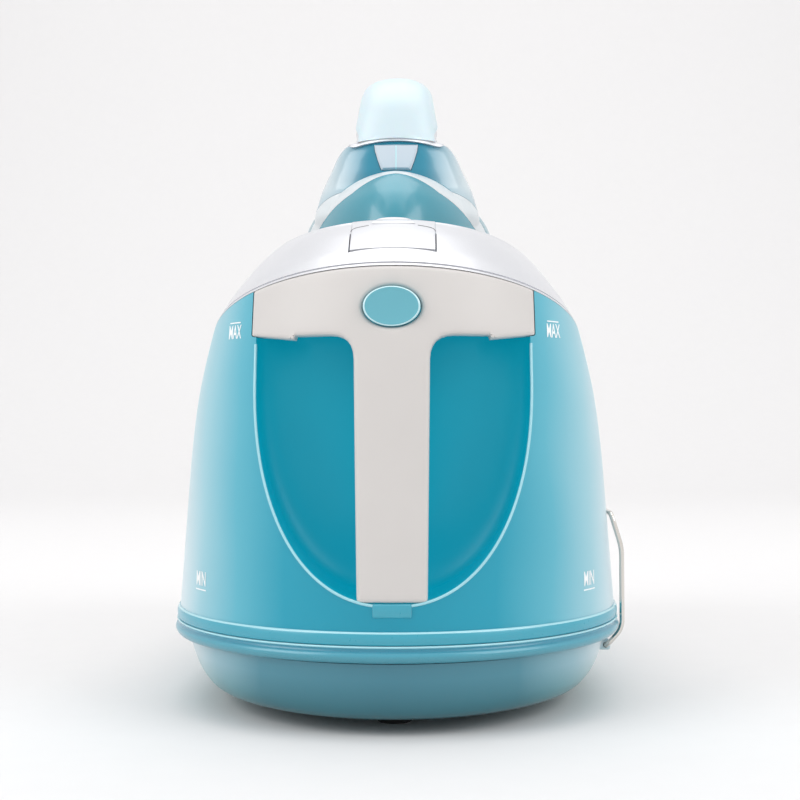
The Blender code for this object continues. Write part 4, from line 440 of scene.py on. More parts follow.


# Clear-tinted SAN, polished tool: deep teal in the middle, painted milky towards the sides: partly the clear
# wall over what lies behind it, partly a painted sheen from grazing reflections
TANK = ramped("polished_san_tank_teal", 0.30, (0.12, [
    (0.0, "0090AA"), (0.42, "109AB4"), (0.62, "58B2C6"), (0.80, "94C8D5"), (0.95, "CBDDE4"),
]), IOR=1.5, Coat_Weight=0.1, Coat_Roughness=0.15)
# The same SAN in the recess, a stronger, bluer teal with a painted glow: its teal emission stands in for
# light coming through from behind
RECESS = moulded("polished_san_recess_teal_painted_glow", "0096AC", "0090A8", 0.38, 2.0, 0.002, IOR=1.4, Coat_Weight=0.0,
                 Coat_Roughness=0.2, Emission_Color=linear("0096AD"), Emission_Strength=0.37)
# ABS, satin tool: tones by height paint shade into the band's hollow and a painted highlight on the bead over
# it
BAND = ramped("satin_abs_band_teal", 0.28, up=(RIM[0], RIM[0] + RIM[1], [
    (0.0, "3C8C9F"), (0.35, "4398AB"), (0.55, "409AAF"), (0.72, "2C8CA6"), (0.84, "3A9AB2"), (0.92, "A9DFE8"),
]), IOR=1.54, Coat_Weight=0.4, Coat_Roughness=0.15)
# ABS, satin tool: the bowl is the darkest plastic; it is painted paler at its sides as a painted sheen, and
# painted darker low down under its turn as painted shade
BOWL = ramped("satin_abs_bowl_teal", 0.30, (0.12, [
    (0.0, "347C8F"), (0.50, "3D8496"), (0.72, "82B0BD"), (0.92, "CBDDE3"),
]), (0.008, 0.027, [
    (0.0, "80C6C2"), (0.4, "B6E0DE"), (1.0, "FFFFFF"),
]), IOR=1.54, Coat_Weight=0.5, Coat_Roughness=0.2)
# ABS, spark-eroded tool: a dry fine grain, so the white stays even with no hard highlight
WHITE = moulded("spark_eroded_abs_warm_white", "D5D1CE", "CFCBC8", 0.46, 0.5, 0.03, IOR=1.54)
# ABS, fine satin tool: pale aqua with a soft, milky highlight
AQUA = moulded("satin_abs_pale_aqua", "D4E5EB", "D0E2E9", 0.38, 0.4, 0.015, IOR=1.54, Coat_Weight=0.2,
               Coat_Roughness=0.25, Subsurface_Weight=0.15, Subsurface_Scale=0.006)
# ABS, polished tool: the keys that are pressed are glossier than what they sit in
BUTTON = moulded("polished_abs_key_teal", "66B4C3", "60AEBE", 0.24, 0.6, 0.006, IOR=1.54, Coat_Weight=0.5,
                 Coat_Roughness=0.08)
# The key's bevel is polished, and painted pale as a painted highlight: the light line round it. The lens's
# seam takes the same painted highlight
BEVEL_AND_SEAM_HIGHLIGHT = moulded("polished_abs_key_bevel_painted_highlight", "C9EEF4", "C2EAF1", 0.12, 0.6, 0.003, IOR=1.54,
                      Coat_Weight=0.8, Coat_Roughness=0.04)
# SAN, polished tool: the iron's hood and shell are the same family, a tone deeper
HOOD = moulded("polished_san_hood_teal", "3093A6", "298CA0", 0.24, 1.5, 0.01, IOR=1.57, Coat_Weight=0.5,
               Coat_Roughness=0.1)
# A cooler white in the iron's stripe and heel, from a polished tool
WHITE_GLOSS = moulded("polished_abs_cool_white", "DDE3E6", "D8DFE2", 0.28, 0.6, 0.006, IOR=1.54,
                      Coat_Weight=0.3, Coat_Roughness=0.1)
# The thin edges of rim and flange, painted pale as a painted highlight where the light catches them
EDGE = moulded("polished_abs_band_edge_painted_highlight", "A9DFE8", "A0D9E3", 0.18, 0.6, 0.003, IOR=1.54, Coat_Weight=0.6,
               Coat_Roughness=0.06)
# The tank's flange is the same SAN as the tank, a tone paler because it is thin
FLANGE = moulded("polished_san_flange_teal", "38A4BA", "329EB4", 0.28, 1.5, 0.005, IOR=1.57, Coat_Weight=0.3,
                 Coat_Roughness=0.12)
# The recess's rolled lip, painted paler than the tank as a painted highlight
RECESS_LIP_HIGHLIGHT = moulded("polished_san_recess_lip_painted_highlight", "A2DBE6", "98D5E1", 0.2, 1.0, 0.005, IOR=1.57,
                      Coat_Weight=0.5, Coat_Roughness=0.08)
# Polypropylene, moulded: a soft black with a dry grain, which shows no highlight of its own
DARK = moulded("moulded_pp_black", "2A2D30", "242729", 0.48, 0.4, 0.03, IOR=1.49)
# Nitrile rubber, moulded: dull, with a chalky grain
RUBBER = moulded("moulded_nitrile_rubber", "1E2021", "191B1C", 0.78, 0.3, 0.04, IOR=1.52)
# Extruded silicone: milky and soft, light gets a little way in
SILICONE = moulded("extruded_silicone_milky", "D8D8D4", "D0D0CC", 0.5, 0.8, 0.01, IOR=1.41,
                   Subsurface_Weight=0.3, Subsurface_Scale=0.002)
# Polycarbonate, frosted tool: small lights that glow pale when lit from the room
FROSTED = moulded("frosted_polycarbonate", "DDE6E6", "D3DEDE", 0.30, 0.3, 0.01, IOR=1.585,
                  Transmission_Weight=0.3)
# Polycarbonate, polished over a silver backing: bright facets that mirror the room
CLEAR = moulded("clear_polycarbonate_on_silver", "D3E0EA", "C9D8E4", 0.12, 0.5, 0.003, IOR=1.585,
                Coat_Weight=0.8, Coat_Roughness=0.05, metallic=0.1)
# A matt grey with no gloss: the grip's ribs in their own colour, and a painted shade line, a grey hair line
# laid in the tongue's parting line where the groove would be in shade
RIB_GREY_AND_SHADE_LINE = moulded("moulded_tpe_grey_ribs_and_painted_shade_line", "77787C", "6D6E72", 0.6, 0.4, 0.01, IOR=1.5)
# Pad-printed ink: flat white marks with no gloss of their own
INK = moulded("pad_printed_white_ink", "F8FBFC", "F3F7F8", 0.6, 0.3, 0.005)
# Drawn and chromed steel wire: sharp bright lines along it
CHROME = brushed("chromed_steel_wire", "D9D5CF", 0.13, 0.4, (1.0, 1.0, 0.1))
# Drawn spring steel, left bare: a soft grey shine broken by fine drawing lines
STEEL = brushed("drawn_spring_steel", "A9A9AA", 0.30, 0.3, (1.0, 1.0, 0.3))
# Rolled and polished aluminium: long faint lines from nose to heel
SOLE = brushed("polished_aluminium_sole", "C4C5C8", 0.20, 0.3, (1.0, 0.03, 1.0))


def silver_lacquer():
    """Silver lacquer on ABS: fine metal flake under a clear coat, so it is bright and never mirror-like."""
    coat = {"Coat_Weight": 0.35, "Coat_Roughness": 0.12}
    made, tree, shader, place = finish("silver_lacquer_on_abs", "E0E1E5", 0.36, 0.45, IOR=1.5, **coat)
    # Real flakes are 0.03 mm; they are drawn at 0.25 mm, the finest that shows here
    flake = add(tree, "ShaderNodeTexVoronoi", {"Scale": 4000.0}, Vector=place).outputs["Distance"]
    tones = {"data_type": "RGBA", 6: linear("D8D9DD"), 7: linear("E3E4E8")}
    tint = add(tree, "ShaderNodeMix", tones, Factor=flake)
    gloss = add(tree, "ShaderNodeMapRange", {3: 0.28, 4: 0.42}, Value=flake)
    wire(tree, shader, Base_Color=tint.outputs[2], Roughness=gloss.outputs[0])
    return made


def cast_metal():
    """Die-cast aluminium, as cast: a grey skin with 1 mm mottling and a gritty bump."""
    made, tree, shader, place = finish("die_cast_aluminium", "9A9C9E", 0.48, 1.0)
    skin = add(tree, "ShaderNodeTexNoise", {"Scale": 1000.0, "Detail": 5.0}, Vector=place).outputs[0]
    tones = {"data_type": "RGBA", 6: linear("8E9092"), 7: linear("A8AAAC")}
    tint = add(tree, "ShaderNodeMix", tones, Factor=skin)
    bump = add(tree, "ShaderNodeBump", {"Distance": 0.00008, "Strength": 0.6}, Height=skin)
    wire(tree, shader, Base_Color=tint.outputs[2], Normal=bump.outputs[0])
    return made


def solder_mask():
    """Solder mask on FR4: glossy green with the square copper lanes showing through."""
    made, tree, shader, place = finish("solder_mask_on_fr4", "1D5A34", 0.28, IOR=1.55)
    tones = {"Color1": linear("1D5A34"), "Color2": linear("17502D"), "Mortar": linear("3B7D4B")}
    lanes = add(tree, "ShaderNodeTexBrick", {"Scale": 180.0, "Mortar Size": 0.06, **tones}, Vector=place)
    wire(tree, shader, Base_Color=lanes.outputs["Color"])
    return made


def flank_teal():
    """Clear-tinted SAN: teal in front, painted milky towards the sides as a painted sheen where the grip
    turns away.
    """
    coat = {"Coat_Weight": 0.5, "Coat_Roughness": 0.08}
    made, tree, shader, place = finish("polished_san_flank_fade", "2A93A9", 0.22, IOR=1.57, **coat)
    split = add(tree, "ShaderNodeSeparateXYZ", Vector=place).outputs
    across = add(tree, "ShaderNodeMath", {"operation": "ABSOLUTE", 0: split["X"]}).outputs[0]
    # The painted sheen starts 13 mm from the middle and is full at 41 mm, and it is weaker low on the
    # handle's legs
    wide = {"interpolation_type": "SMOOTHSTEP", 1: 0.013, 2: 0.041, 3: 0.0, 4: 1.0}
    sides = add(tree, "ShaderNodeMapRange", wide, Value=across).outputs[0]
    high = {1: 0.250, 2: 0.272, 3: 0.25, 4: 1.0}
    upper = add(tree, "ShaderNodeMapRange", high, Value=split["Z"]).outputs[0]
    fade = add(tree, "ShaderNodeMath", {"operation": "MULTIPLY", 0: sides, 1: upper}).outputs[0]
    tones = {"data_type": "RGBA", 6: linear("0C88A4"), 7: linear("CEDBE0")}
    tint = add(tree, "ShaderNodeMix", tones, Factor=fade)
    wire(tree, shader, Base_Color=tint.outputs[2])
    return made


SILVER = silver_lacquer()
METAL = cast_metal()
BOARD = solder_mask()
FLANK = flank_teal()

FINISH_OF_SLOT = {
    "tank_teal": TANK, "band_teal": BAND, "bowl_teal": BOWL, "button_teal": BUTTON,
    "warm_white_plastic": WHITE, "aqua_plastic": AQUA, "silver_paint": SILVER, "clear_lens": CLEAR,
    "chrome_wire": CHROME, "spring_steel": STEEL, "cast_aluminium": METAL, "polished_sole": SOLE,
    "dark_plastic": DARK, "dark_rubber": RUBBER, "silicone_tube": SILICONE, "light_lens": FROSTED,
    "circuit_board_green": BOARD,
}
SLOT_OF_NODE = {row["node"]: row["material_slot"] for row in frame["record"]["subparts"]}
BODIES = frame["record"]["behaviour"]["bodies"]
BODY_OF_NODE = {node: body for body, nodes in BODIES.items() for node in nodes}


def mesh_from(work):
    """Ends a bmesh as a mesh whose faces point out."""
    bmesh.ops.remove_doubles(work, verts=work.verts, dist=0.0000005)
    bmesh.ops.recalc_face_normals(work, faces=work.faces)
    made = bpy.data.meshes.new("mesh")
    work.to_mesh(made)
    work.free()
    return made


def shown(name, data):
    """Puts a mesh, a text, a lamp or a camera into the scene under its name."""
    data.name = name
    made = bpy.data.objects.new(name, data)
    scene.collection.objects.link(made)
    return made


def bridge(work, low, high):
    """Four-sided faces between two rings of as many corners."""
    for i in range(len(low)):
        j = (i + 1) % len(low)
        work.faces.new((low[i], low[j], high[j], high[i]))


def turns(count):
    """Angles evenly round the circle."""
    return [math.tau * k / count for k in range(count)]


def loft(rings, joined=False):
    """A closed skin through rings, with flat ends or with the last ring joined to the first."""
    work = bmesh.new()
    rows = [[work.verts.new(point) for point in ring] for ring in rings]
    for low, high in zip(rows, rows[1:] + rows[:1] if joined else rows[1:]):
        bridge(work, low, high)
    if not joined:
        work.faces.new(list(reversed(rows[0])))
        work.faces.new(rows[-1])
    return mesh_from(work)


def slab(outer, inner):
    """A closed plate between two grids of points."""
    work = bmesh.new()
    a = [[work.verts.new(p) for p in row] for row in outer]
    b = [[work.verts.new(p) for p in row] for row in inner]
    rows, columns = len(a), len(a[0])
    for i in range(rows - 1):
        for j in range(columns - 1):
            work.faces.new((a[i][j], a[i][j + 1], a[i + 1][j + 1], a[i + 1][j]))
            work.faces.new((b[i][j], b[i + 1][j], b[i + 1][j + 1], b[i][j + 1]))
    for i in range(rows - 1):
        work.faces.new((a[i][0], a[i + 1][0], b[i + 1][0], b[i][0]))
        work.faces.new((a[i][-1], b[i][-1], b[i + 1][-1], a[i + 1][-1]))
    for j in range(columns - 1):
        work.faces.new((a[0][j], b[0][j], b[0][j + 1], a[0][j + 1]))
        work.faces.new((a[-1][j], a[-1][j + 1], b[-1][j + 1], b[-1][j]))
    return mesh_from(work)


def box(low, high):
    """A box between two corners."""
    low, high = Vector(low), Vector(high)
    work = bmesh.new()
    size = Matrix.Diagonal((*(high - low), 1.0))
    bmesh.ops.create_cube(work, size=1.0, matrix=Matrix.Translation((low + high) / 2) @ size)
    return mesh_from(work)


def rod(start, end, radius, sides=48):
    """A round bar between two points."""
    start, end = Vector(start), Vector(end)
    work = bmesh.new()
    turn = (end - start).to_track_quat("Z", "Y").to_matrix().to_4x4()
    where = Matrix.Translation((start + end) / 2) @ turn
    size = {"radius1": radius, "radius2": radius, "depth": (end - start).length}
    bmesh.ops.create_cone(work, cap_ends=True, segments=sides, matrix=where, **size)
    return mesh_from(work)


def sweep(points, radius, sides=16):
    """A round wire along points, closed at both ends."""
    points = [Vector(p) for p in points]
    rings = []
    normal = None
    for i, point in enumerate(points):
        along = (points[min(i + 1, len(points) - 1)] - points[max(i - 1, 0)]).normalized()
        if normal is None:
            normal = along.orthogonal().normalized()
        normal = (normal - along * normal.dot(along)).normalized()
        other = along.cross(normal)
        rings.append([point + radius * (normal * math.cos(t) + other * math.sin(t)) for t in turns(sides)])
    return loft(rings)


def cut(target, mesh, operation="DIFFERENCE", place=None):
    """Cuts, keeps or joins with another mesh, at once."""
    if place is not None:
        mesh.transform(place)
    tool = shown("tool", mesh)
    step = target.modifiers.new("cut", "BOOLEAN")
    step.operation = operation
    step.solver = "EXACT"
    step.object = tool
    settle(target)
    bpy.data.objects.remove(tool, do_unlink=True)


def cut_room(target, room):
    """Cuts with an object that was shaped for it, which is then gone."""
    cut(target, room.data.copy())
    bpy.data.objects.remove(room, do_unlink=True)


def settle(target):
    """Applies every modifier to the mesh itself."""
    bpy.context.view_layer.update()
    made = bpy.data.meshes.new_from_object(target.evaluated_get(bpy.context.evaluated_depsgraph_get()))
    target.modifiers.clear()
    target.data = made


def round_edges(target, width, angle=30.0, steps=3):
    """Rounds every edge sharper than an angle."""
    work = bmesh.new()
    work.from_mesh(target.data)
    bmesh.ops.remove_doubles(work, verts=work.verts, dist=0.00001)
    bmesh.ops.dissolve_degenerate(work, dist=0.00001, edges=work.edges)
    work.to_mesh(target.data)
    work.free()
    step = target.modifiers.new("round", "BEVEL")
    step.width = width
    step.segments = steps
    step.limit_method = "ANGLE"
    step.angle_limit = math.radians(angle)
    step.use_clamp_overlap = True
    settle(target)


def dress(target, body, slot, material, *nodes, angle=32.0):
    """Gives a finished piece its material, its shading, its body and the nodes it stands for."""
    target.data.materials.clear()
    target.data.materials.append(material)
    for face in target.data.polygons:
        face.material_index = 0
    target.data.shade_smooth()
    target.data.set_sharp_from_angle(angle=math.radians(angle))
    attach(target, body)
    if nodes:
        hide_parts(*nodes)
    return target


def piece(node, target, material=None, angle=32.0):
    """Dresses a piece that stands for one node of the model."""
    slot = SLOT_OF_NODE[node]
    return dress(target, BODY_OF_NODE[node], slot, material or FINISH_OF_SLOT[slot], node, angle=angle)


def retone(target, material, where):
    """Gives one more material to the faces of a finished piece that a test picks."""
    target.data.materials.append(material)
    for face in target.data.polygons:
        if where(face):
            face.material_index = len(target.data.materials) - 1


def signed_power(value, power):
    return math.copysign(abs(value) ** power, value)


def plan(half_width, centre_y, front, rear, front_powers, rear_powers, count=FINE):
    """Points (x, y) of an egg-shaped plan, from its widest point on the right, back first."""
    points = []
    for turn in turns(count):
        powers = rear_powers if math.sin(turn) > 0 else front_powers
        reach = rear if math.sin(turn) > 0 else front
        x = half_width * signed_power(math.cos(turn), powers[0])
        points.append((x, centre_y + reach * signed_power(math.sin(turn), powers[1])))
    return points


def row_at(rows, share):
    """A row at any share along the first column, on a smooth curve that never overshoots."""
    last = len(rows) - 2
    k = 0
    while k < last and share > rows[k + 1][0]:
        k += 1
    low, high = rows[k], rows[k + 1]
    span = high[0] - low[0]
    t = (share - low[0]) / span

    def slope(at, column):
        if at == 0 or at == len(rows) - 1:
            near = 1 if at == 0 else at
            return (rows[near][column] - rows[near - 1][column]) / (rows[near][0] - rows[near - 1][0])
        before = (rows[at][column] - rows[at - 1][column]) / (rows[at][0] - rows[at - 1][0])
        after = (rows[at + 1][column] - rows[at][column]) / (rows[at + 1][0] - rows[at][0])
        return 0.0 if before * after <= 0 else 2 * before * after / (before + after)

    found = []
    for column in range(1, len(low)):
        a, b = low[column], high[column]
        m0, m1 = slope(k, column) * span, slope(k + 1, column) * span
        h = (2 * t ** 3 - 3 * t ** 2 + 1, t ** 3 - 2 * t ** 2 + t, -2 * t ** 3 + 3 * t ** 2, t ** 3 - t ** 2)
        found.append(h[0] * a + h[1] * m0 + h[2] * b + h[3] * m1)
    return found


def fine_shares(rows, each=5):
    """Shares that keep every row and put more between."""
    shares = []
    for low, high in zip(rows, rows[1:]):
        shares += [low[0] + (high[0] - low[0]) * k / each for k in range(each)]
    return shares + [rows[-1][0]]


def body_plan(shares, inset=0.0, count=FINE):
    wide, front, rear = shares
    size = (HALF_WIDTH * wide - inset, WIDEST_Y, FRONT_REACH * front - inset, REAR_REACH * rear - inset)
    return plan(*size, (1.0, 1.0), REAR_POWERS, count)


def body_rings(rows, place, inset=0.0, each=5, count=FINE, below=0.0):
    """Rings of the body for one outline table."""
    bottom, height = place
    rings = []
    for share in fine_shares(rows, each):
        z = bottom + share * height
        rings.append([Vector((x, y, z)) for x, y in body_plan(row_at(rows, share), inset, count)])
    if below:
        rings.insert(0, [point - Vector((0.0, 0.0, below)) for point in rings[0]])
    return rings


def front_y(x, z, proud=0.0):
    """Where the tank's front is at a place seen from the front, or a skin that stands proud of it."""
    wide, front, _ = row_at(UPPER_ROWS, max(0.0, min(1.0, (z - UPPER[0]) / UPPER[1])))
    across = max(-0.999, min(0.999, x / (HALF_WIDTH * wide + proud)))
    return WIDEST_Y - (FRONT_REACH * front + proud) * math.sqrt(1 - across * across)


def tank_top(y):
    return TANK_TOP - math.tan(TANK_ANGLE) * (y - TANK_FRONT_Y)


def housing_top(y):
    return tank_top(PARTING_Y) - math.tan(HOUSING_ANGLE) * (y - PARTING_Y)


def lip_height(y):
    return LIP_HEIGHT - math.tan(HOUSING_ANGLE) * (y - (LIP_Y - LIP_FRONT))


def above(point, angle, drop=0.0):
    """Everything over a plane that slopes down to the back."""
    made = box((-1.0, -1.0, -drop), (1.0, 1.0, 1.0))
    made.transform(Matrix.Translation(point) @ Matrix.Rotation(-angle, 4, "X"))
    return made


def front_of(y):
    """Everything in front of a place."""
    return box((-1.0, -1.0, -1.0), (1.0, y, 1.0))


def rear_of(y):
    """Everything behind a place."""
    return box((-1.0, y, -1.0), (1.0, 1.0, 1.0))


def rounded(corners, step=0.0015):
    """A closed outline through corners of (x, z, radius), rounded and evenly filled in."""
    count = len(corners)
    points = []
    for i, (x, z, radius) in enumerate(corners):
        here = Vector((x, z))
        before = Vector(corners[i - 1][:2]) - here
        after = Vector(corners[(i + 1) % count][:2]) - here
        if radius <= 0.0:
            points.append(here)
            continue
        bend = before.angle(after)
        reach = min(radius / math.tan(bend / 2), before.length * 0.49, after.length * 0.49)
        start, end = here + before.normalized() * reach, here + after.normalized() * reach
        for k in range(7):
            t = k / 6
            points.append(start * (1 - t) ** 2 + here * 2 * t * (1 - t) + end * t ** 2)
    filled = []
    for a, b in zip(points, points[1:] + points[:1]):
        parts = max(1, int((b - a).length / step))
        filled += [a.lerp(b, k / parts) for k in range(parts)]
    return filled


def inside(point, loop):
    """Whether a flat point lies in a loop."""
    found = False
    for a, b in zip(loop, loop[1:] + loop[:1]):
        if (a.y > point.y) != (b.y > point.y):
            if point.x < a.x + (b.x - a.x) * (point.y - a.y) / (b.y - a.y):
                found = not found
    return found


def moved_in(loop, distance):
    """A loop moved to its left, which is into the piece."""
    moved = []
    for i, point in enumerate(loop):
        along = (loop[(i + 1) % len(loop)] - loop[i - 1]).normalized()
        moved.append(point + Vector((-along.y, along.x)) * distance)
    return moved


def plate(loops, front, back, edge=0.0, step=0.003, arc=4):
    """A piece cut to flat loops, its front edge rounded: the outside runs left about, holes right about."""
    work = bmesh.new()

    def skin(rings_of_loop, place):
        flat, edges, drops = [], [], []
        for rings in rings_of_loop:
            for ring, drop in rings:
                start = len(flat)
                flat += ring
                drops += [drop] * len(ring)
                edges += [(start + i, start + (i + 1) % len(ring)) for i in range(len(ring))]
        limit = edge + step * 0.45
        low = Vector((min(p.x for p in loops[0]), min(p.y for p in loops[0])))
        high = Vector((max(p.x for p in loops[0]), max(p.y for p in loops[0])))
        borders = [ring[0] for rings in rings_of_loop for ring in rings[:1]]
        for i in range(int((high.x - low.x) / step) + 1):
            for j in range(int((high.y - low.y) / step) + 1):
                spot = low + Vector(((i + 0.5) * step, (j + 0.5) * step))
                if not inside(spot, loops[0]) or any(inside(spot, hole) for hole in loops[1:]):
                    continue
                if min((spot - p).length for ring in borders for p in ring) > limit:
                    flat.append(spot)
                    drops.append(0.0)
        points, _, faces, origin, _, _ = geometry.delaunay_2d_cdt(flat, edges, [], 0, 1e-7)
        verts = []
        for point, came in zip(points, origin):
            verts.append(work.verts.new(place(point.x, point.y, drops[came[0]] if came else 0.0)))
        for face in faces:
            middle = sum((points[i] for i in face), Vector((0.0, 0.0))) / len(face)
            if inside(middle, loops[0]) and not any(inside(middle, hole) for hole in loops[1:]):
                work.faces.new([verts[i] for i in face])
        return verts

    fronts = []
    for loop in loops:
        rings = []
        for k in range(arc + 1 if edge else 1):
            turn = math.pi / 2 * k / arc
            rings.append((moved_in(loop, edge * (1 - math.cos(turn))), edge * (1 - math.sin(turn))))
        fronts.append(rings)
    ahead = skin(fronts, lambda x, z, drop: front(x, z) + Vector((0.0, drop, 0.0)))
    behind = skin([[(loop, 0.0)] for loop in loops], lambda x, z, drop: back(x, z))
    at_front, at_back = 0, 0
    for loop, rings in zip(loops, fronts):
        size = len(loop)
        bridge(work, ahead[at_front:at_front + size], behind[at_back:at_back + size])
        at_front += size * len(rings)
        at_back += size
    return mesh_from(work)


def ellipse(centre, half_width, half_height, count=64, left_about=True):
    """A flat oval outline, run left about or right about."""
    angles = [turn if left_about else -turn for turn in turns(count)]
    points = [(half_width * math.cos(angle), half_height * math.sin(angle)) for angle in angles]
    return [Vector((centre[0] + x, centre[1] + y)) for x, y in points]


def refined(node, rounding, shape=None):
    """A merged and rounded copy of a node of the model, cut to a shape first where one is given."""
    work = bmesh.new()
    work.from_mesh(frame["nodes"][node].data)
    bmesh.ops.remove_doubles(work, verts=work.verts, dist=0.000001)
    bmesh.ops.dissolve_limit(work, angle_limit=math.radians(1.0), verts=work.verts, edges=work.edges)
    made = bpy.data.meshes.new(node + "_fine")
    work.to_mesh(made)
    work.free()
    target = shown(node + "_fine", made)
    if shape:
        shape(target)
    if rounding:
        round_edges(target, rounding, 30.0, 2)
    return piece(node, target)


def refine(rounding, *nodes):
    """Several nodes as the model has them, with rounded edges."""
    for node in nodes:
        refined(node, rounding)


def soft_box(low, high, radius, steps=3):
    """A box with rounded edges."""
    made = box(low, high)
    work = bmesh.new()
    work.from_mesh(made)
    bmesh.ops.bevel(work, geom=work.edges, offset=radius, segments=steps, affect="EDGES", profile=0.5)
    work.to_mesh(made)
    work.free()
    return made


def bent(points, radius, steps=8):
    """A route through points with its corners rounded."""
    points = [Vector(p) for p in points]
    route = [points[0]]
    for before, here, after in zip(points, points[1:], points[2:]):
        back, on = before - here, after - here
        reach = min(radius, back.length * 0.48, on.length * 0.48)
        start, end = here + back.normalized() * reach, here + on.normalized() * reach
        for k in range(steps + 1):
            t = k / steps
            route.append(start * (1 - t) ** 2 + here * 2 * t * (1 - t) + end * t ** 2)
    return route + [points[-1]]


def paint_edge_highlight(target, height):
    """Paints the upper edge of a band pale, as a painted highlight line."""
    retone(target, EDGE, lambda face: face.center.z > height and abs(face.normal.z) < 0.999)


def make_base():
    """The dark bowl with the clip's ear, the rim band and the chromed clip."""
    x, z = CLIP_PIVOT
    front, rear = CLIP_ENDS
    bowl = shown("bowl", loft(body_rings(TRAY_ROWS, TRAY)))
    cut(bowl, soft_box(*EAR, 0.0012), "UNION")
    cut(bowl, rod((x, front, z), (x, rear, z), CLIP_RADIUS + CLIP_PLAY))
    piece("base_tray", bowl)
    deck = piece("base_deck", shown("rim_band", loft(body_rings(RIM_ROWS, RIM))))
    # The rim's bead is painted pale, as a painted highlight line
    paint_edge_highlight(deck, RIM[0] + BEAD_SHARE * RIM[1])
    route = [(x, front + CLIP_TUCK, z)] + [(out, front, up) for out, up in CLIP_SIDE]
    route += [(out, rear, up) for out, up in reversed(CLIP_SIDE)] + [(x, rear - CLIP_TUCK, z)]
    piece("hose_clip", shown("wire_clip", sweep(bent(route, CLIP_BEND), CLIP_RADIUS, 20)))
    refine(0.0008, "foot_front", "foot_left", "foot_right", "foot_rear_left", "foot_rear_right")


def bar_top(x, proud=HANDLE_PROUD):
    """Height of the T bar's top edge, which follows the tank's sloping top."""
    z = TANK_TOP
    for _ in range(8):
        z = tank_top(front_y(x, z, proud)) - GAP
    return z


def handle_loop(raised=0.0):
    """The outline of the T, run left about as seen from the front."""
    bar, step = BAR_HALF_WIDTH, BAR_STEP_X
    count = 26
    top = [(bar - 2 * bar * i / count) for i in range(1, count)]
    corners = [(bar, BAR_END_BOTTOM, 0.0012), (bar, bar_top(bar) + raised, 0.0016)]
    corners += [(x, bar_top(x) + raised, 0.0) for x in top]
    corners += [(-bar, bar_top(bar) + raised, 0.0016), (-bar, BAR_END_BOTTOM, 0.0012)]
    corners += [(-step, BAR_BOTTOM - BAR_STEP, 0.0004), (-step + 0.0004, BAR_BOTTOM, 0.0004)]
    corners += [(-STEM_TOP, BAR_BOTTOM, FILLET), (-STEM_FOOT, STEM_FOOT_Z, 0.0020)]
    corners += [(STEM_FOOT, STEM_FOOT_Z, 0.0020), (STEM_TOP, BAR_BOTTOM, FILLET)]
    corners += [(step - 0.0004, BAR_BOTTOM, 0.0004), (step, BAR_BOTTOM - BAR_STEP, 0.0004)]
    return rounded(corners)


def recess_loop(grow=0.0, count=40):
    """The outline of the hand recess, run left about as seen from the front."""
    wide = RECESS_HALF_WIDTH + grow
    deep = RECESS_CURVE_TOP - RECESS_BOTTOM + grow
    right = []
    for i in range(count):
        turn = math.pi / 2 * (i + 0.5) / count
        x = wide * math.cos(turn) ** RECESS_CURVE
        right.append(Vector((x, RECESS_CURVE_TOP - deep * math.sin(turn) ** RECESS_CURVE)))
    sides = [Vector((wide, RECESS_TOP + grow + 0.0001)), Vector((wide, (RECESS_TOP + RECESS_CURVE_TOP) / 2))]
    left = [Vector((-p.x, p.y)) for p in sides + right]
    return left + list(reversed(sides + right))


def recess_hollow(grow=0.0):
    """The hand recess as a block: straight in, with a round floor edge."""
    loop = recess_loop(grow)
    back = RECESS_BACK_Y + grow
    rings = [[Vector((p.x, -0.30, p.y)) for p in loop]]
    for k in range(13):
        turn = math.pi / 2 * k / 13
        inset = RECESS_ROUND[0] * (1 - math.cos(turn))
        y = back - RECESS_ROUND[1] * (1 - math.sin(turn))
        narrowed = moved_in(loop, inset)
        heights = [RECESS_TOP + grow if q.y > RECESS_TOP else p.y for p, q in zip(narrowed, loop)]
        rings.append([Vector((p.x, y, z)) for p, z in zip(narrowed, heights)])
    return loft(rings)


def notch(grow, deep):
    """The room that the T handle sits in."""
    loop = moved_in(handle_loop(0.03), -grow)

    def ahead(x, z):
        return Vector((x, front_y(x, z) - 0.03, z))

    def behind(x, z):
        return Vector((x, min(front_y(x, z) + deep, NOTCH_BACK_Y + grow), z))

    return plate([loop], ahead, behind, step=0.006)


def body_room(name):
    """The room inside the body's wall, which runs on below the wall's foot."""
    return shown(name, loft(body_rings(UPPER_ROWS, UPPER, WALL, 2, FINE // 2, 0.05)))


def cut_fittings(shell):
    """Opens the tank for the filler flap, the flap's pin and the outlet valve."""
    x, y, half_width, half_length = FLAP
    low = (x - half_width - GAP, y - half_length - GAP, -0.02)
    high = (x + half_width + GAP, y + half_length + GAP, 0.02)
    cut(shell, box(low, high), place=TOP_PLACE)
    y, z, radius, reach = FLAP_PIN
    ends = ((x - reach - 2 * GAP, y, z), (x + reach + 2 * GAP, y, z))
    cut(shell, rod(*ends, radius + GAP, 24), place=TOP_PLACE)
    cut(shell, rod((0.0, PARTING_Y - 0.005, VALVE_Z), (0.0, PARTING_Y + WALL, VALVE_Z), VALVE_RADIUS))


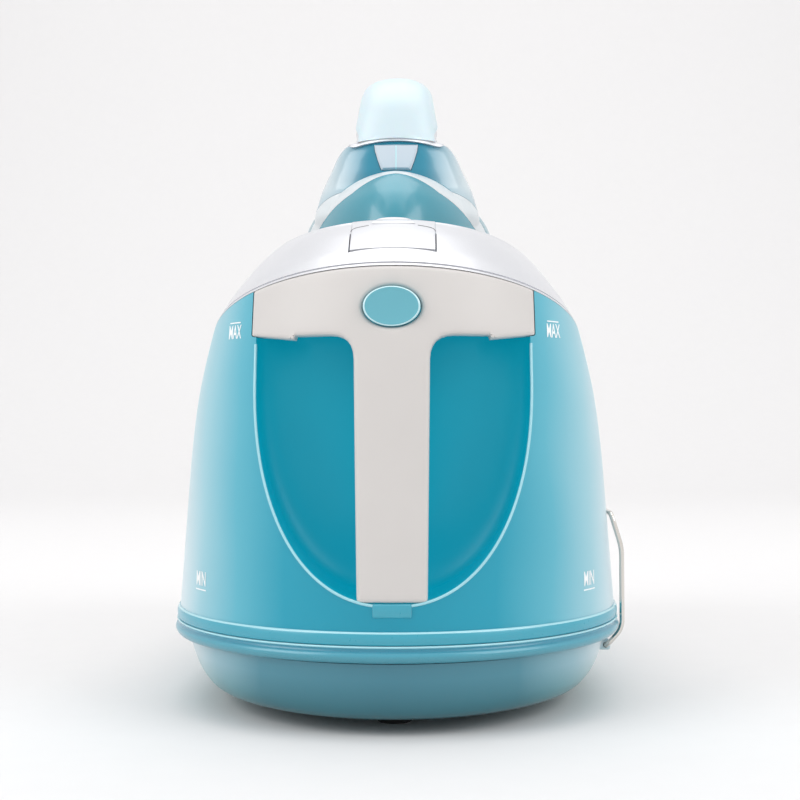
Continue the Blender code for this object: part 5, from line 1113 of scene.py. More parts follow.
def make_tank():
    """The teal shell with its hand recess, openings and lug, the flange under it and the recess's lip."""
    room = body_room("tank_room")
    cut(room, above(TANK_FRONT_PLANE, TANK_ANGLE, 0.004))
    cut(room, rear_of(PARTING_Y - WALL))
    cut(room, recess_hollow(WALL))
    cut(room, notch(GAP + WALL, HANDLE_DEPTH + WALL))
    shell = shown("tank", loft(body_rings(UPPER_ROWS, UPPER)))
    cut(shell, above(TANK_FRONT_PLANE, TANK_ANGLE))
    cut(shell, rear_of(PARTING_Y))
    cut_room(shell, room)
    cut(shell, recess_hollow())
    cut(shell, notch(GAP, HANDLE_DEPTH))
    half_width, foot, top = LUG
    front = front_y(0.0, STEM_FOOT_Z, HANDLE_PROUD)
    cut(shell, soft_box((-half_width, front, foot), (half_width, front + HANDLE_DEPTH, top), 0.0010), "UNION")
    cut_fittings(shell)
    piece("tank_shell", shell, angle=28.0)
    loop = recess_loop(0.0004)

    def in_recess(face):
        x, y, z = face.center
        if abs(x) > RECESS_HALF_WIDTH + GAP or not RECESS_BOTTOM - GAP < z < 0.205:
            return False
        return front_y(x, z) + 0.0004 < y < RECESS_BACK_Y + GAP and inside(Vector((x, z)), loop)

    def in_lug(face):
        x, y, z = face.center
        return abs(x) < half_width + 0.0001 and foot - 0.0001 < z < top + 0.0001 and y < front + 0.0012

    # The recess faces take the teal with a painted glow, standing in for light coming through from behind
    retone(shell, RECESS, in_recess)
    # The lug under the stem is thick and clear, so it shows paler than the shell
    retone(shell, FLANGE, in_lug)

    flange = shown("tank_foot", loft(body_rings(TANK_FOOT_ROWS, TANK_FOOT)))
    cut(flange, rear_of(PARTING_Y))
    piece("tank_base", flange, FLANGE)
    # The flange's upper edge is painted pale, as a painted highlight line
    paint_edge_highlight(flange, TANK_FOOT[0] + FLANGE_EDGE_SHARE * TANK_FOOT[1])

    # The recess has a rolled lip about 1.5 mm wide, painted pale as a painted highlight: the pale line round
    # it
    path = [spot for spot in recess_loop(0.0002) if spot.y < RECESS_LIP_TOP]
    route = [Vector((x, front_y(x, z, -0.0002), z)) for x, z in path]
    dress(shown("recess_lip", sweep(route, RECESS_LIP_RADIUS, 12)), "tank", "tank_teal", RECESS_LIP_HIGHLIGHT)


def make_handle():
    """The T handle with a round front edge, an oval pocket, and the button in it."""
    hole = ellipse((0.0, BUTTON_Z), BUTTON_SIZE[0] + GAP, BUTTON_SIZE[1] + GAP, 72, False)

    def ahead(x, z):
        return Vector((x, front_y(x, z, HANDLE_PROUD), z))

    def behind(x, z):
        y = min(front_y(x, z) + HANDLE_DEPTH - GAP, HANDLE_BACK_Y)
        return Vector((x, y, min(z, tank_top(y) - GAP)))

    bar = shown("t_handle", plate([handle_loop(), hole], ahead, behind, HANDLE_EDGE))
    half_width, back, depth = LATCH_SLOT
    slot_y = TANK_FRONT_Y + back
    cut(bar, box((-half_width, slot_y - GAP, BUTTON_Z), (half_width, slot_y + depth, 0.25)))
    piece("tank_handle", bar, angle=40.0)

    front = front_y(0.0, BUTTON_Z, HANDLE_PROUD)
    rings = []
    for share, y in BUTTON_STEPS:
        ring = ellipse((0.0, BUTTON_Z), BUTTON_SIZE[0] * share, BUTTON_SIZE[1] * share, 96)
        rings.append([Vector((p.x, front + y, p.y)) for p in ring])
    button = piece("tank_release_button", shown("oval_button", loft(rings)), angle=60.0)

    def in_bevel(face):
        share = math.hypot(face.center.x / BUTTON_SIZE[0], (face.center.z - BUTTON_Z) / BUTTON_SIZE[1])
        return BUTTON_BEVEL[0] < share < BUTTON_BEVEL[1] and face.center.y < front

    # The bevel ring is painted pale: a painted highlight round the key
    retone(button, BEVEL_AND_SEAM_HIGHLIGHT, in_bevel)
    refine(0.0004, "tank_latch", "filler_flap")
    refine(0.0003, "outlet_valve", "valve_poppet", "inlet_spout")


def add_line(work, up, parts=12):
    """The flat bar over or under the letters, divided so that it can follow the tank."""
    width, height = MARK_LINE
    low, high, ink = up - height / 2, up + height / 2, LETTERS["extrude"]
    corners = [(low, -ink), (high, -ink), (high, ink), (low, ink)]
    loops = []
    for k in range(parts + 1):
        x = -width / 2 + width * k / parts
        loops.append([work.verts.new((x, y, z)) for y, z in corners])
    for here, ahead in zip(loops, loops[1:]):
        bridge(work, here, ahead)
    work.faces.new(loops[0])
    work.faces.new(list(reversed(loops[-1])))


def make_marks():
    """MAX and MIN with their lines, printed on both sides of the tank's front."""
    for word, out, line_z, offset in MARKS:
        for side, name in ((-1, "left"), (1, "right")):
            letters = bpy.data.curves.new("letters", "FONT")
            letters.body = word
            for key, value in LETTERS.items():
                setattr(letters, key, value)
            written = shown("letters", letters)
            bpy.context.view_layer.update()
            flat = bpy.data.meshes.new_from_object(written)
            bpy.data.objects.remove(written, do_unlink=True)
            letter_z = line_z + offset
            work = bmesh.new()
            work.from_mesh(flat)
            bmesh.ops.remove_doubles(work, verts=work.verts, dist=0.00001)
            for vertex in work.verts:
                vertex.co.x *= LETTER_WIDTH
            add_line(work, line_z - letter_z)
            for vertex in work.verts:
                x, z = side * out + vertex.co.x, letter_z + vertex.co.y
                vertex.co = Vector((x, front_y(x, z, INK_PROUD) - vertex.co.z, z))
            mark = shown(f"{word.lower()}_mark_{name}", mesh_from(work))
            dress(mark, "tank", "warm_white_plastic", INK)


def make_housing():
    """The warm white housing behind the tank, with the bay for hose and lead."""
    room = body_room("housing_room")
    cut(room, front_of(HOUSING_Y + WALL))
    housing = shown("housing", loft(body_rings(UPPER_ROWS, UPPER, below=0.006)))
    cut(housing, front_of(HOUSING_Y))
    cut(housing, above((0.0, PARTING_Y, tank_top(PARTING_Y)), HOUSING_ANGLE))
    cut_room(housing, room)
    cut(housing, rod((0.0, PARTING_Y - WALL, VALVE_Z), (0.0, PARTING_Y + 0.0056, VALVE_Z), SPOUT_RADIUS))
    low, high = BAY
    cut(housing, box((low[0] - GAP, BAY_MOUTH_Y, low[2] - GAP), (high[0] + GAP, 0.4, high[2] + GAP)))
    piece("rear_housing", housing, angle=28.0)
    refine(0.0006, "connector_bay", "hose_socket", "mains_gland", "descale_knob")


def frame_foot(y):
    return max(tank_top(y), housing_top(y)) + GAP


def frame_foot_ring(inset=0.0):
    """The frame's lower edge, where the sloping top meets the body's side."""
    ring = []
    for i in range(FINE):
        z = TANK_TOP
        for _ in range(12):
            x, y = body_plan(row_at(UPPER_ROWS, (z - UPPER[0]) / UPPER[1]), inset)[i]
            z = frame_foot(y)
        ring.append(Vector((x, y, z)))
    return ring


def lip_ring(inset=0.0, drop=0.0):
    size = (LIP_HALF_WIDTH - inset, LIP_Y, LIP_FRONT - inset, LIP_REAR - inset)
    return [Vector((x, y, lip_height(y) - drop)) for x, y in plan(*size, (1.0, 1.0), LIP_POWERS)]


def between(low, high, share, bulge=0.0):
    ring = []
    for a, b in zip(low, high):
        out = Vector((a.x, a.y - LIP_Y, 0.0)).normalized()
        ring.append(a.lerp(b, share) + out * bulge)
    return ring


def frame_front(x, share, depth=0.0):
    """A place on the front of the frame's outer wall, or at a depth behind it."""
    foot_wide, foot_front, _ = row_at(UPPER_ROWS, (TANK_TOP - UPPER[0]) / UPPER[1])
    wide = HALF_WIDTH * foot_wide * (1 - share) + LIP_HALF_WIDTH * share
    turn = math.asin(max(-1.0, min(1.0, x / wide)))
    foot_y = WIDEST_Y - FRONT_REACH * foot_front * math.cos(turn)
    lip_y = LIP_Y - LIP_FRONT * math.cos(turn)
    foot = Vector((x, foot_y, frame_foot(foot_y)))
    lip = Vector((x, lip_y, lip_height(lip_y)))
    slope = (lip - foot).normalized()
    inward = Vector((0.0, slope.z, -slope.y))
    return foot.lerp(lip, share) + Vector((0.0, -FRONT_BOW * share * (1 - share), 0.0)) + inward * depth


def prism(points, half_width):
    """A (y, z) outline pushed through the middle from side to side."""
    return loft([[Vector((x, y, z)) for y, z in points] for x in (-half_width, half_width)])


def leaning(spot, along):
    """A place in the middle plane whose Z axis runs along a slope."""
    return Matrix.Translation(spot) @ Matrix.Rotation(math.atan2(-along.y, along.z), 4, "X")


def cut_notch(wall):
    """Cuts the frame for the tongue: narrow over its round corners, and wide beside it, as a dark line."""
    side = TONGUE_HALF_WIDTH + TONGUE_GAP
    low_share = TONGUE_FOOT - TONGUE_DROP / LIP_HEIGHT
    low = frame_front(0.0, low_share)
    slope = (frame_front(0.0, 1.0) - low).normalized()
    out = Vector((0.0, -slope.z, slope.y))
    start = low - slope * TONGUE_DROP
    back_y = LIP_Y - LIP_FRONT + LIP_WIDTH + FRAME_WALL
    floor = lip_height(back_y) - REST_DROP + HOOK_FLOOR - GAP
    sag = (low - frame_front(side, low_share)).dot(out)
    spots = [start + out * FAR, start - out * (TONGUE_THICKNESS + TONGUE_GAP + sag)]
    spots += [Vector((0.0, LIP_Y - LIP_FRONT, floor)), Vector((0.0, back_y + HOOK_ROOM, floor))]
    spots += [Vector((0.0, back_y + HOOK_ROOM, floor + FAR)), Vector((0.0, start.y - FAR, floor + FAR))]
    outline = [(p.y, p.z) for p in spots]
    cut(wall, prism(outline, TONGUE_HALF_WIDTH + NOTCH_ROOM))
    sides = shown("tongue_sides", prism(outline, side))
    over = box((-1.0, -1.0, 0.0), (1.0, 1.0, 1.0))
    cut(sides, over, place=leaning(frame_front(0.0, NOTCH_SHARE), slope))
    cut_room(wall, sides)


def make_tongue():
    """The lock tongue, square at its foot, with the thumb's place and a painted shade line at its upper
    corners.
    """
    across = [TONGUE_HALF_WIDTH * k / 20 for k in range(-20, 21)]
    shares = [TONGUE_FOOT + (1.0 - TONGUE_FOOT) * k / 24 for k in range(25)]
    skins = []
    for depth in (0.0, TONGUE_THICKNESS):
        skins.append([[frame_front(x, share, depth) for x in across] for share in shares])
    tongue = shown("tongue", slab(*skins))
    foot = frame_front(0.0, TONGUE_FOOT)
    lean = (frame_front(0.0, 1.0) - foot).normalized()
    cut(tongue, box((-1.0, -1.0, -1.0), (1.0, 1.0, 0.0)), place=leaning(foot, lean))
    round_edges(tongue, 0.0002)
    # The thumb's place is a low lens-shaped swelling at the top of the tongue
    work = bmesh.new()
    swell = leaning(frame_front(0.0, THUMB_SHARE, 0.0002), lean) @ Matrix.Diagonal((*THUMB_SIZE, 1.0))
    bmesh.ops.create_uvsphere(work, u_segments=48, v_segments=24, radius=1.0, matrix=swell)
    cut(tongue, mesh_from(work), "UNION")
    piece("lock_tongue", tongue, angle=50.0)
    # Each upper corner gets a thin grey tube half sunk in the tongue: painted shade for the parting line's
    # groove
    for way in (-1, 1):
        line = sweep([frame_front(way * x, share, 0.00005) for x, share in TONGUE_CORNER], 0.00026, 8)
        dress(shown("tongue_painted_shade_line", line), "tongue", "dark_plastic", RIB_GREY_AND_SHADE_LINE)


def arched(target):
    """Gives the hook's head a low arch, so that it lies in the line of the lip."""
    top = max(vertex.co.z for vertex in target.data.vertices)
    wide = max(abs(vertex.co.x) for vertex in target.data.vertices if vertex.co.z > top - 0.001)
    arc = [(wide * math.cos(math.pi * k / 24), math.sin(math.pi * k / 24)) for k in range(25)]
    shape = [(x * 1.001, top - HOOK_ARCH * (1 - rise)) for x, rise in arc]
    shape = [(FAR, top - HOOK_ARCH), *shape, (-FAR, top - HOOK_ARCH), (-FAR, top - 0.08), (FAR, top - 0.08)]
    cut(target, loft([[Vector((x, y, z)) for x, z in shape] for y in (-1.0, 1.0)]), "INTERSECT")


def make_frame():
    """The silver frame with its rolled lip, the lock tongue in its front, and what sits inside it."""
    foot, lip = frame_foot_ring(), lip_ring(0.0, 0.0009)
    wide_in, wall_in = LIP_WIDTH + LEDGE_WIDTH, LIP_WIDTH - FRAME_WALL
    ledge_foot = LEDGE_TOP + LEDGE_THICKNESS
    rings = [foot] + [between(foot, lip, share, out) for share, out in FOOT_LINE]
    rings += [between(foot, lip, k / 24, row_at(BULGE_ROWS, k / 24)[0]) for k in range(3, 24)]
    rings += [lip_ring(inset, drop) for inset, drop in LIP_ROLL]
    rings += [lip_ring(LIP_WIDTH, LIP_DROP), lip_ring(LIP_WIDTH, LEDGE_TOP)]
    rings += [lip_ring(wide_in, LEDGE_TOP), lip_ring(wide_in, ledge_foot)]
    rings += [lip_ring(wall_in, ledge_foot), lip_ring(wall_in, 2 * FRAME_WALL)]
    foot_inside = frame_foot_ring(FRAME_WALL)
    rings += [between(foot_inside, lip_ring(FRAME_WALL, 2 * FRAME_WALL), 0.75), foot_inside]
    wall = shown("silver_frame", loft(rings, True))
    cut_notch(wall)
    piece("platform_frame", wall, angle=35.0)
    make_tongue()
    refined("lock_hook", 0.0006, arched)
    refine(0.0006, "rest_plate", "rest_pad_nose", "rest_pad_heel", "control_panel", "power_button")
    refine(0.0004, "power_light", "descale_light")


def iron_ring(z, wide=1.0, nose=1.0, heel=1.0, inset=0.0, count=FINE):
    """A ring of the iron's outline in its own place on the rest."""
    size = (IRON_HALF_WIDTH * wide - inset, IRON_WIDEST, (IRON_HALF_LENGTH + IRON_WIDEST) * nose - inset)
    heel_reach = (IRON_HALF_LENGTH - IRON_WIDEST) * heel - inset
    points = plan(*size, heel_reach, IRON_NOSE_POWERS, IRON_HEEL_POWERS, count)
    return [IRON_PLACE @ Vector((x, y, z)) for x, y in points]


def iron_skin(inset=0.0, below=0.0, each=5, count=FINE):
    bottom, height = IRON_BODY
    rings = []
    for share in fine_shares(IRON_ROWS, each):
        rings.append(iron_ring(bottom + share * (height - inset), *row_at(IRON_ROWS, share), inset, count))
    if below:
        down = IRON_PLACE.to_3x3() @ Vector((0.0, 0.0, -below))
        rings.insert(0, [p + down for p in rings[0]])
    return rings


def raised(line, rise):
    """A (y, z) line moved up by a little."""
    return [(y, z + rise) for y, z in line]


def over_stripe():
    """The room over the white stripe, as a (y, z) outline."""
    return raised(STRIPE_HIGH, GAP) + FAR_OVER


def handle_skin(end, steps, sides):
    """The handle's closed skin, from its nose end to a length along its line."""
    return loft([[grip_point(end * k / steps, turn) for turn in turns(sides)] for k in range(steps + 1)])


def make_iron():
    """The sole, the skirt and the teal shell with its white stripe."""
    piece("soleplate", shown("sole", loft([iron_ring(z, inset=inset) for z, inset in SOLE_STEPS])))
    refine(0.0003, "sole_skirt", "steam_chamber")
    parts = [
        ("iron_hood", "hood", HOOD, raised(STRIPE_LOW, -GAP) + FAR_UNDER),
        ("front_stripe", "stripe", WHITE_GLOSS, STRIPE_LOW + list(reversed(STRIPE_HIGH))),
        ("upper_shell", "upper", HOOD, over_stripe()),
        ("heel_cover", "heel", WHITE_GLOSS, None),
    ]
    for node, name, material, outline in parts:
        shell = shown(name, loft(iron_skin()))
        if node in ("iron_hood", "front_stripe"):
            # The foot of the handle's front leg spreads into the shell
            cut(shell, handle_skin(HANDLE_ROWS[LEG_ROW][0], 24, 96), "UNION")
        cut(shell, loft(iron_skin(IRON_WALL, 0.05, 2, FINE // 2)))
        if outline:
            cut(shell, prism(outline, 0.2), "INTERSECT", IRON_PLACE)
            cut(shell, rear_of(HEEL_Y), place=IRON_PLACE)
        else:
            cut(shell, rear_of(HEEL_Y + GAP), "INTERSECT", IRON_PLACE)
            front, rear, height, radius = IRON_SOCKET
            cut(shell, rod((0.0, front, height), (0.0, rear, height), radius), place=IRON_PLACE)
        piece(node, shell, material, angle=35.0)
    refine(0.0006, "iron_hose_socket")


def handle_rows():
    """The handle's rows with the length along its line as their first column."""
    rows, length = [], 0.0
    for i, row in enumerate(HANDLE_LINE):
        if i:
            length += math.dist(row[:2], HANDLE_LINE[i - 1][:2])
        rows.append((length, *row))
    return rows


HANDLE_ROWS = handle_rows()


def grip_point(length, turn, grow=0.0):
    """A place on the handle's skin: so far along its line, turned from the right side up and over."""
    end = HANDLE_ROWS[-1][0]
    y, z, wide, thick = row_at(HANDLE_ROWS, max(0.0, min(end, length)))
    step = 0.0015
    low = row_at(HANDLE_ROWS, max(0.0, length - step))
    high = row_at(HANDLE_ROWS, min(end, length + step))
    along = Vector((0.0, high[0] - low[0], high[1] - low[1])).normalized()
    if length < HANDLE_END:
        along = Vector((0.0, 0.0, 1.0)).lerp(along, length / HANDLE_END).normalized()
    if length > end - HANDLE_END:
        along = Vector((0.0, 0.0, -1.0)).lerp(along, (end - length) / HANDLE_END).normalized()
    out = Vector((0.0, -along.z, along.y))
    across = (wide + grow) * signed_power(math.cos(turn), HANDLE_CURVE)
    up = (thick + grow) * signed_power(math.sin(turn), HANDLE_CURVE)
    return IRON_PLACE @ (Vector((across, y, z)) + out * up)


def lens_outline(inset, rise):
    """The lens seen from the front: narrow at its foot, with bowed sides and a seam in its middle."""
    foot, top = LENS_HEIGHTS
    right = [(x - inset, foot + up) for x, up in LENS_SIDE]
    right[0] = (right[0][0], foot + rise)
    right[-1] = (right[-1][0], top - rise)
    left = [(-x, z) for x, z in reversed(right)]
    low_seam = [(-LENS_SEAM, foot + rise), (LENS_SEAM, foot + rise)]
    high_seam = [(LENS_SEAM, top - rise), (-LENS_SEAM, top - rise)]
    return low_seam + right + high_seam + left


def cap_skin(name, start, grows, spread=0.0):
    """A bent plate over the handle, whose front edge is a shallow arch between two round corners."""
    last = HANDLE_ROWS[CAP_ROWS[1]][0]
    rows, columns = CAP_GRID
    corner_from, corner_width, corner_depth = CAP_CORNER

    def place(share, across, grow):
        ease = min(1.0, share / 0.10)
        half_turn = CAP_FRONT_TURN + (CAP_TURN - CAP_FRONT_TURN) * ease * ease * (3 - 2 * ease)
        corner = max(0.0, min(1.0, (abs(across) - corner_from) / corner_width))
        bow = CAP_ARCH * math.cos(math.pi / 2 * across) ** 2
        bow += corner_depth * (1 - math.sqrt(1 - corner ** 2))
        length = start + (last - start) * share + bow * (1 - share) ** 6
        return grip_point(length, math.pi / 2 + (half_turn + spread) * across, grow)

    grid = [[(i / rows, j / columns * 2 - 1) for j in range(columns + 1)] for i in range(rows + 1)]
    skins = [[[place(share, across, grow) for share, across in row] for row in grid] for grow in grows]
    return shown(name, slab(*skins))


def make_cap():
    """The pale cap over the grip, and the silver trim that shows before its front edge."""
    start = HANDLE_ROWS[CAP_ROWS[0]][0] - CAP_OVERHANG
    cap = cap_skin("cap", start, (GAP + CAP_THICKNESS, GAP))
    round_edges(cap, 0.0008)
    piece("handle_cap", cap, angle=40.0)
    trim = cap_skin("cap_trim", start - TRIM_REACH, (GAP + TRIM_PROUD, 0.0), TRIM_SPREAD)
    round_edges(trim, 0.0004)
    dress(trim, "iron", "silver_paint", SILVER, angle=40.0)


def make_lens():
    """The handle's lens: two facets that tilt away from the fine seam between them."""
    work = bmesh.new()
    loops = []
    for depth, inset, rise in LENS_STEPS:
        outline = lens_outline(inset, rise)
        spots = [Vector((x, LENS_Y + depth + abs(x) / LENS_SIDE[-1][0] * LENS_TILT, z)) for x, z in outline]
        loops.append([work.verts.new(IRON_PLACE @ spot) for spot in spots])
    for low, high in zip(loops, loops[1:]):
        bridge(work, low, high)
    work.faces.new(list(reversed(loops[0])))
    front = loops[-1]
    work.faces.new([front[0], front[1], front[6], front[7]])
    work.faces.new(front[1:7])
    work.faces.new([front[0], *reversed(front[7:])])
    lens = piece("handle_lens", shown("lens", mesh_from(work)), angle=4.0)

    def in_seam(face):
        return abs(face.center.x) < 0.0003 and face.area < 0.00002 and face.normal.y < -0.5

    # The seam's narrow face is painted pale: a painted highlight line down the lens
    retone(lens, BEVEL_AND_SEAM_HIGHLIGHT, in_seam)


def make_grip():
    """The handle with its pale cap, silver trim, faceted lens and steam trigger."""
    grip = shown("grip", handle_skin(HANDLE_ROWS[-1][0], 150, 72))
    ends = (LENS_Y - 0.01, LENS_Y + LENS_DEPTH + GAP)
    seat = [[Vector((x, y, z)) for x, z in lens_outline(-GAP, -GAP)] for y in ends]
    cut(grip, loft(seat), place=IRON_PLACE)
    cut(grip, prism(over_stripe(), 0.2), "INTERSECT", IRON_PLACE)
    cut(grip, box(*TRIGGER_SLOT), place=IRON_PLACE)
    x, y, z, radius = TRIGGER_PIN
    cut(grip, rod((-x, y, z), (x, y, z), radius, 24), place=IRON_PLACE)
    piece("iron_handle", grip, FLANK, angle=40.0)
    make_cap()
    make_lens()
    refine(0.0012, "steam_trigger")
    refine(0.0, "trigger_spring")


def repeat_tree():
    """Geometry Nodes that set one small rounded plate at each place, turned to that place's own axes."""
    tree = bpy.data.node_groups.new("repeated_plates", "GeometryNodeTree")
    kinds = {"Places": "Geometry", **dict.fromkeys(PLATE_SIZES, "Float"), "Finish": "Material"}
    for name, kind in kinds.items():
        tree.interface.new_socket(name, in_out="INPUT", socket_type="NodeSocket" + kind)
    tree.interface.new_socket("Plates", in_out="OUTPUT", socket_type="NodeSocketGeometry")
    given = add(tree, "NodeGroupInput").outputs
    size = {"Width": given["Width"], "Height": given["Length"]}
    outline = add(tree, "GeometryNodeCurvePrimitiveQuadrilateral", size)
    rounding = {"mode": "POLY", "Count": 4, "Radius": given["Corner"]}
    corners = add(tree, "GeometryNodeFilletCurve", rounding, Curve=outline.outputs[0])
    face = add(tree, "GeometryNodeFillCurve", {"mode": "NGONS"}, Curve=corners.outputs[0])
    raising = {"Offset Scale": given["Height"], "Individual": False}
    top = add(tree, "GeometryNodeExtrudeMesh", raising, Mesh=face.outputs[0])
    bottom = add(tree, "GeometryNodeFlipFaces", Mesh=face.outputs[0])
    both = add(tree, "GeometryNodeJoinGeometry", Geometry=top.outputs[0])
    tree.links.new(bottom.outputs[0], both.inputs["Geometry"])
    closed = add(tree, "GeometryNodeMergeByDistance", {"Distance": 0.000001}, Geometry=both.outputs[0])
    ways = []
    for name in ("aim", "along"):
        read = add(tree, "GeometryNodeInputNamedAttribute", {"data_type": "FLOAT_VECTOR", "Name": name})
        ways.append(read.outputs[0])
    axes = {"primary_axis": "Z", "secondary_axis": "Y", 0: ways[0], 1: ways[1]}
    turn = add(tree, "FunctionNodeAxesToRotation", axes)
    spots = {"Points": given["Places"], "Rotation": turn.outputs[0]}
    plates = add(tree, "GeometryNodeInstanceOnPoints", spots, Instance=closed.outputs[0])
    real = add(tree, "GeometryNodeRealizeInstances", Geometry=plates.outputs[0])
    dressed = add(tree, "GeometryNodeSetMaterial", Geometry=real.outputs[0], Material=given["Finish"])
    add(tree, "NodeGroupOutput", {0: dressed.outputs[0]})
    return tree


REPEAT = repeat_tree()


def repeated(name, places, size, body, slot, material):
    """Small plates of one size (width, length, height, corner) at places (spot, aim, along) of one body."""
    mesh = bpy.data.meshes.new(name)
    mesh.from_pydata([tuple(spot) for spot, _, _ in places], [], [])
    for k, key in ((1, "aim"), (2, "along")):
        column = mesh.attributes.new(key, "FLOAT_VECTOR", "POINT")
        column.data.foreach_set("vector", [value for place in places for value in place[k]])
    made = shown(name, mesh)
    step = made.modifiers.new("repeat", "NODES")
    step.node_group = REPEAT
    values = {**dict(zip(PLATE_SIZES, size)), "Finish": material}
    for socket in REPEAT.interface.items_tree:
        if socket.in_out == "INPUT" and socket.name in values:
            step[socket.identifier] = values[socket.name]
    settle(made)
    work = bmesh.new()
    work.from_mesh(made.data)
    made.data = mesh_from(work)
    return dress(made, body, slot, material)


def make_holes():
    """The sole's steam holes, in three rows along its edge."""
    down = IRON_PLACE.to_3x3() @ Vector((0.0, 0.0, -1.0))
    ahead = IRON_PLACE.to_3x3() @ Vector((0.0, 1.0, 0.0))
    holes = []
    for inset, each in HOLE_ROWS:
        ring = iron_ring(0.0, inset=inset)
        holes += [(spot, down, ahead) for spot in ring[FINE // 2 + 6:FINE - 6:each]]
    repeated("steam_holes", holes, HOLE_SIZE, "iron", "dark_plastic", DARK)


def make_ribs():
    """Cross ribs under the grip, where the fingers lie."""
    ribs = []
    start, end = HANDLE_ROWS[10][0] - 0.016, HANDLE_ROWS[12][0] - 0.006
    count = int((end - start) / RIB_STEP)
    for k in range(count + 1):
        length = start + (end - start) * k / count
        spot = grip_point(length, -math.pi / 2)
        out = (spot - grip_point(length, math.pi / 2)).normalized()
        ribs.append((spot - out * 0.0003, out, Vector((1.0, 0.0, 0.0))))
    repeated("grip_ribs", ribs, RIB_SIZE, "iron", "dark_plastic", RIB_GREY_AND_SHADE_LINE)


def make_vents():
    """Upright slots on both sides of the housing, evenly along its wall."""
    low, high = (body_plan(row_at(UPPER_ROWS, share), count=720) for share in VENT_SHARES)
    low_z, high_z = (UPPER[0] + share * UPPER[1] for share in VENT_SHARES)
    vents = []
    gone = 0.0
    for here, ahead, over in zip(low[:360], low[1:], high):
        gone += math.dist(here, ahead)
        if gone < VENT_STEP:
            continue
        gone = 0.0
        if VENT_ENDS[0] < here[1] < VENT_ENDS[1]:
            spot = Vector((*here, low_z))
            along = (Vector((*over, high_z)) - spot).normalized()
            aim = Vector((ahead[0] - here[0], ahead[1] - here[1], 0.0)).normalized().cross(along)
            aim = aim if aim.x * spot.x > 0 else -aim
            vents.append((spot + along * 0.006 - aim * 0.00012, aim, along))
    repeated("housing_vents", vents, VENT_SIZE, BODY_OF_NODE["rear_housing"], "dark_plastic", DARK)


def make_screws():
    """Six screws under the bowl, with crossed slots."""
    below, across = Vector((0.0, 0.0, -1.0)), Vector((0.0, 1.0, 0.0))
    spots = [(x * side, y) for x, y in SCREWS for side in (-1, 1)]
    heads = [(Vector((x, y, TRAY[0] + 0.0001)), below, across) for x, y in spots]
    repeated("bottom_screws", heads, SCREW_SIZE, "base", "spring_steel", STEEL)
    for way in (Vector((1.0, 1.0, 0.0)), Vector((1.0, -1.0, 0.0))):
        slots = [(spot + below * 0.00108, aim, way.normalized()) for spot, aim, _ in heads]
        repeated("screw_slots", slots, SLOT_SIZE, "base", "dark_plastic", DARK)


def make_inside():
    """What sits inside the housing, the tank and the iron."""
    refine(0.0006, "boiler", "boiler_cradle", "boiler_heater", "steam_valve")
    refine(0.0006, "pump_mount", "pump", "circuit_board")
    refine(0.0, "feed_tube", "boiler_tube", "steam_tube", "drain_tube", "iron_steam_tube")
    refine(0.0, "button_spring", "valve_spring", "power_spring")


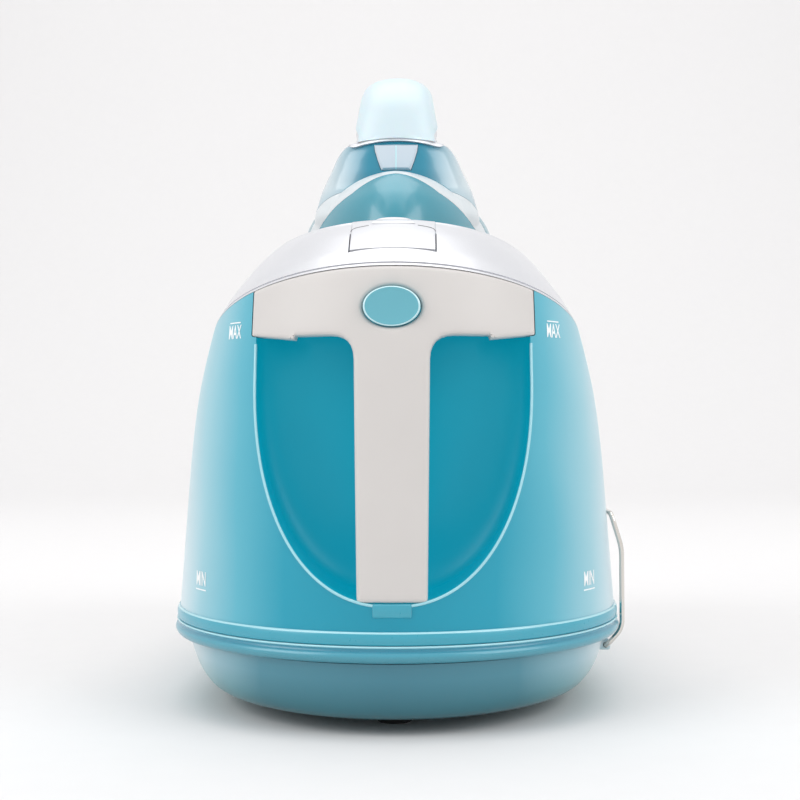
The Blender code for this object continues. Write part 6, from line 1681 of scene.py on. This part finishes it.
def make_floor():
    """A paper sweep: flat under the object, then rolled up into a wall far behind it."""
    radius, start = SWEEP_RADIUS, SWEEP_START
    rolls = [k * math.pi / 48 for k in range(1, 25)]
    side = [(-2.0, 0.0), (start, 0.0)]
    side += [(start + radius * math.sin(roll), radius - radius * math.cos(roll)) for roll in rolls]
    side += [(start + radius, 5.0)]
    work = bmesh.new()
    edges = [[work.verts.new((x, y, z)) for y, z in side] for x in (-2.4, 2.4)]
    for i in range(len(side) - 1):
        work.faces.new((edges[0][i], edges[1][i], edges[1][i + 1], edges[0][i + 1]))
    mesh = bpy.data.meshes.new("paper_sweep")
    work.to_mesh(mesh)
    work.free()
    mesh.shade_smooth()
    made, tree, shader, place = finish("matt_paper_sweep", "E9E9EB", 0.95)
    # Cloudy pulp a few centimetres wide keeps the white from looking like a flat fill
    pulp = add(tree, "ShaderNodeTexNoise", {"Scale": 60.0, "Detail": 2.0}, Vector=place).outputs[0]
    tones = {"data_type": "RGBA", 6: linear("E7E6E6"), 7: linear("E9E8E8")}
    tint = add(tree, "ShaderNodeMix", tones, Factor=pulp)
    wire(tree, shader, Base_Color=tint.outputs[2])
    mesh.materials.append(made)
    shown("paper_sweep", mesh)


def make_world():
    """A soft grey light all round, and a paler backdrop where the camera or a reflection sees it."""
    world = bpy.data.worlds.new("studio")
    scene.world = world
    world.use_nodes = True
    tree = world.node_tree
    tree.nodes.clear()
    rays = add(tree, "ShaderNodeLightPath").outputs
    soft = add(tree, "ShaderNodeBackground", {"Color": linear("F6F6F7"), "Strength": 0.63}).outputs[0]
    seen = add(tree, "ShaderNodeBackground", {"Color": linear("F9F9F9"), "Strength": 1.0}).outputs[0]
    choice = rays["Is Camera Ray"]
    for name in ("Is Transmission Ray", "Is Glossy Ray"):
        choice = add(tree, "ShaderNodeMath", {"operation": "MAXIMUM", 0: choice, 1: rays[name]}).outputs[0]
    mix = add(tree, "ShaderNodeMixShader", {0: choice, 1: soft, 2: seen})
    add(tree, "ShaderNodeOutputWorld", Surface=mix.outputs[0])


def make_lights():
    """Two soft boxes beside the object, one over it, and a wash on the backdrop."""
    for name, (where, aim, size, power) in LIGHTS.items():
        lamp = bpy.data.lights.new(name, "AREA")
        lamp.shape = "RECTANGLE"
        lamp.size = size
        lamp.size_y = size
        lamp.energy = power
        lamp.color = (1.0, 1.0, 1.0)
        made = shown(name, lamp)
        made.location = where
        made.rotation_euler = (Vector(aim) - Vector(where)).to_track_quat("-Z", "Y").to_euler()


def make_camera():
    """The camera in the photo's place, with the photo's slight turn and roll."""
    lens = bpy.data.cameras.new("camera")
    lens.lens = CAMERA_LENS
    lens.sensor_width = 36.0
    lens.clip_start = 0.01
    lens.clip_end = 50.0
    camera = shown("camera", lens)
    camera.location = CAMERA_PLACE
    camera.rotation_euler = [math.radians(angle) for angle in CAMERA_ANGLES]
    scene.camera = camera
    scene.view_settings.view_transform = "Standard"


make_base()
make_tank()
make_handle()
make_marks()
make_housing()
make_frame()
make_iron()
make_grip()
make_inside()
make_holes()
make_ribs()
make_vents()
make_screws()
make_floor()
make_world()
make_lights()
make_camera()
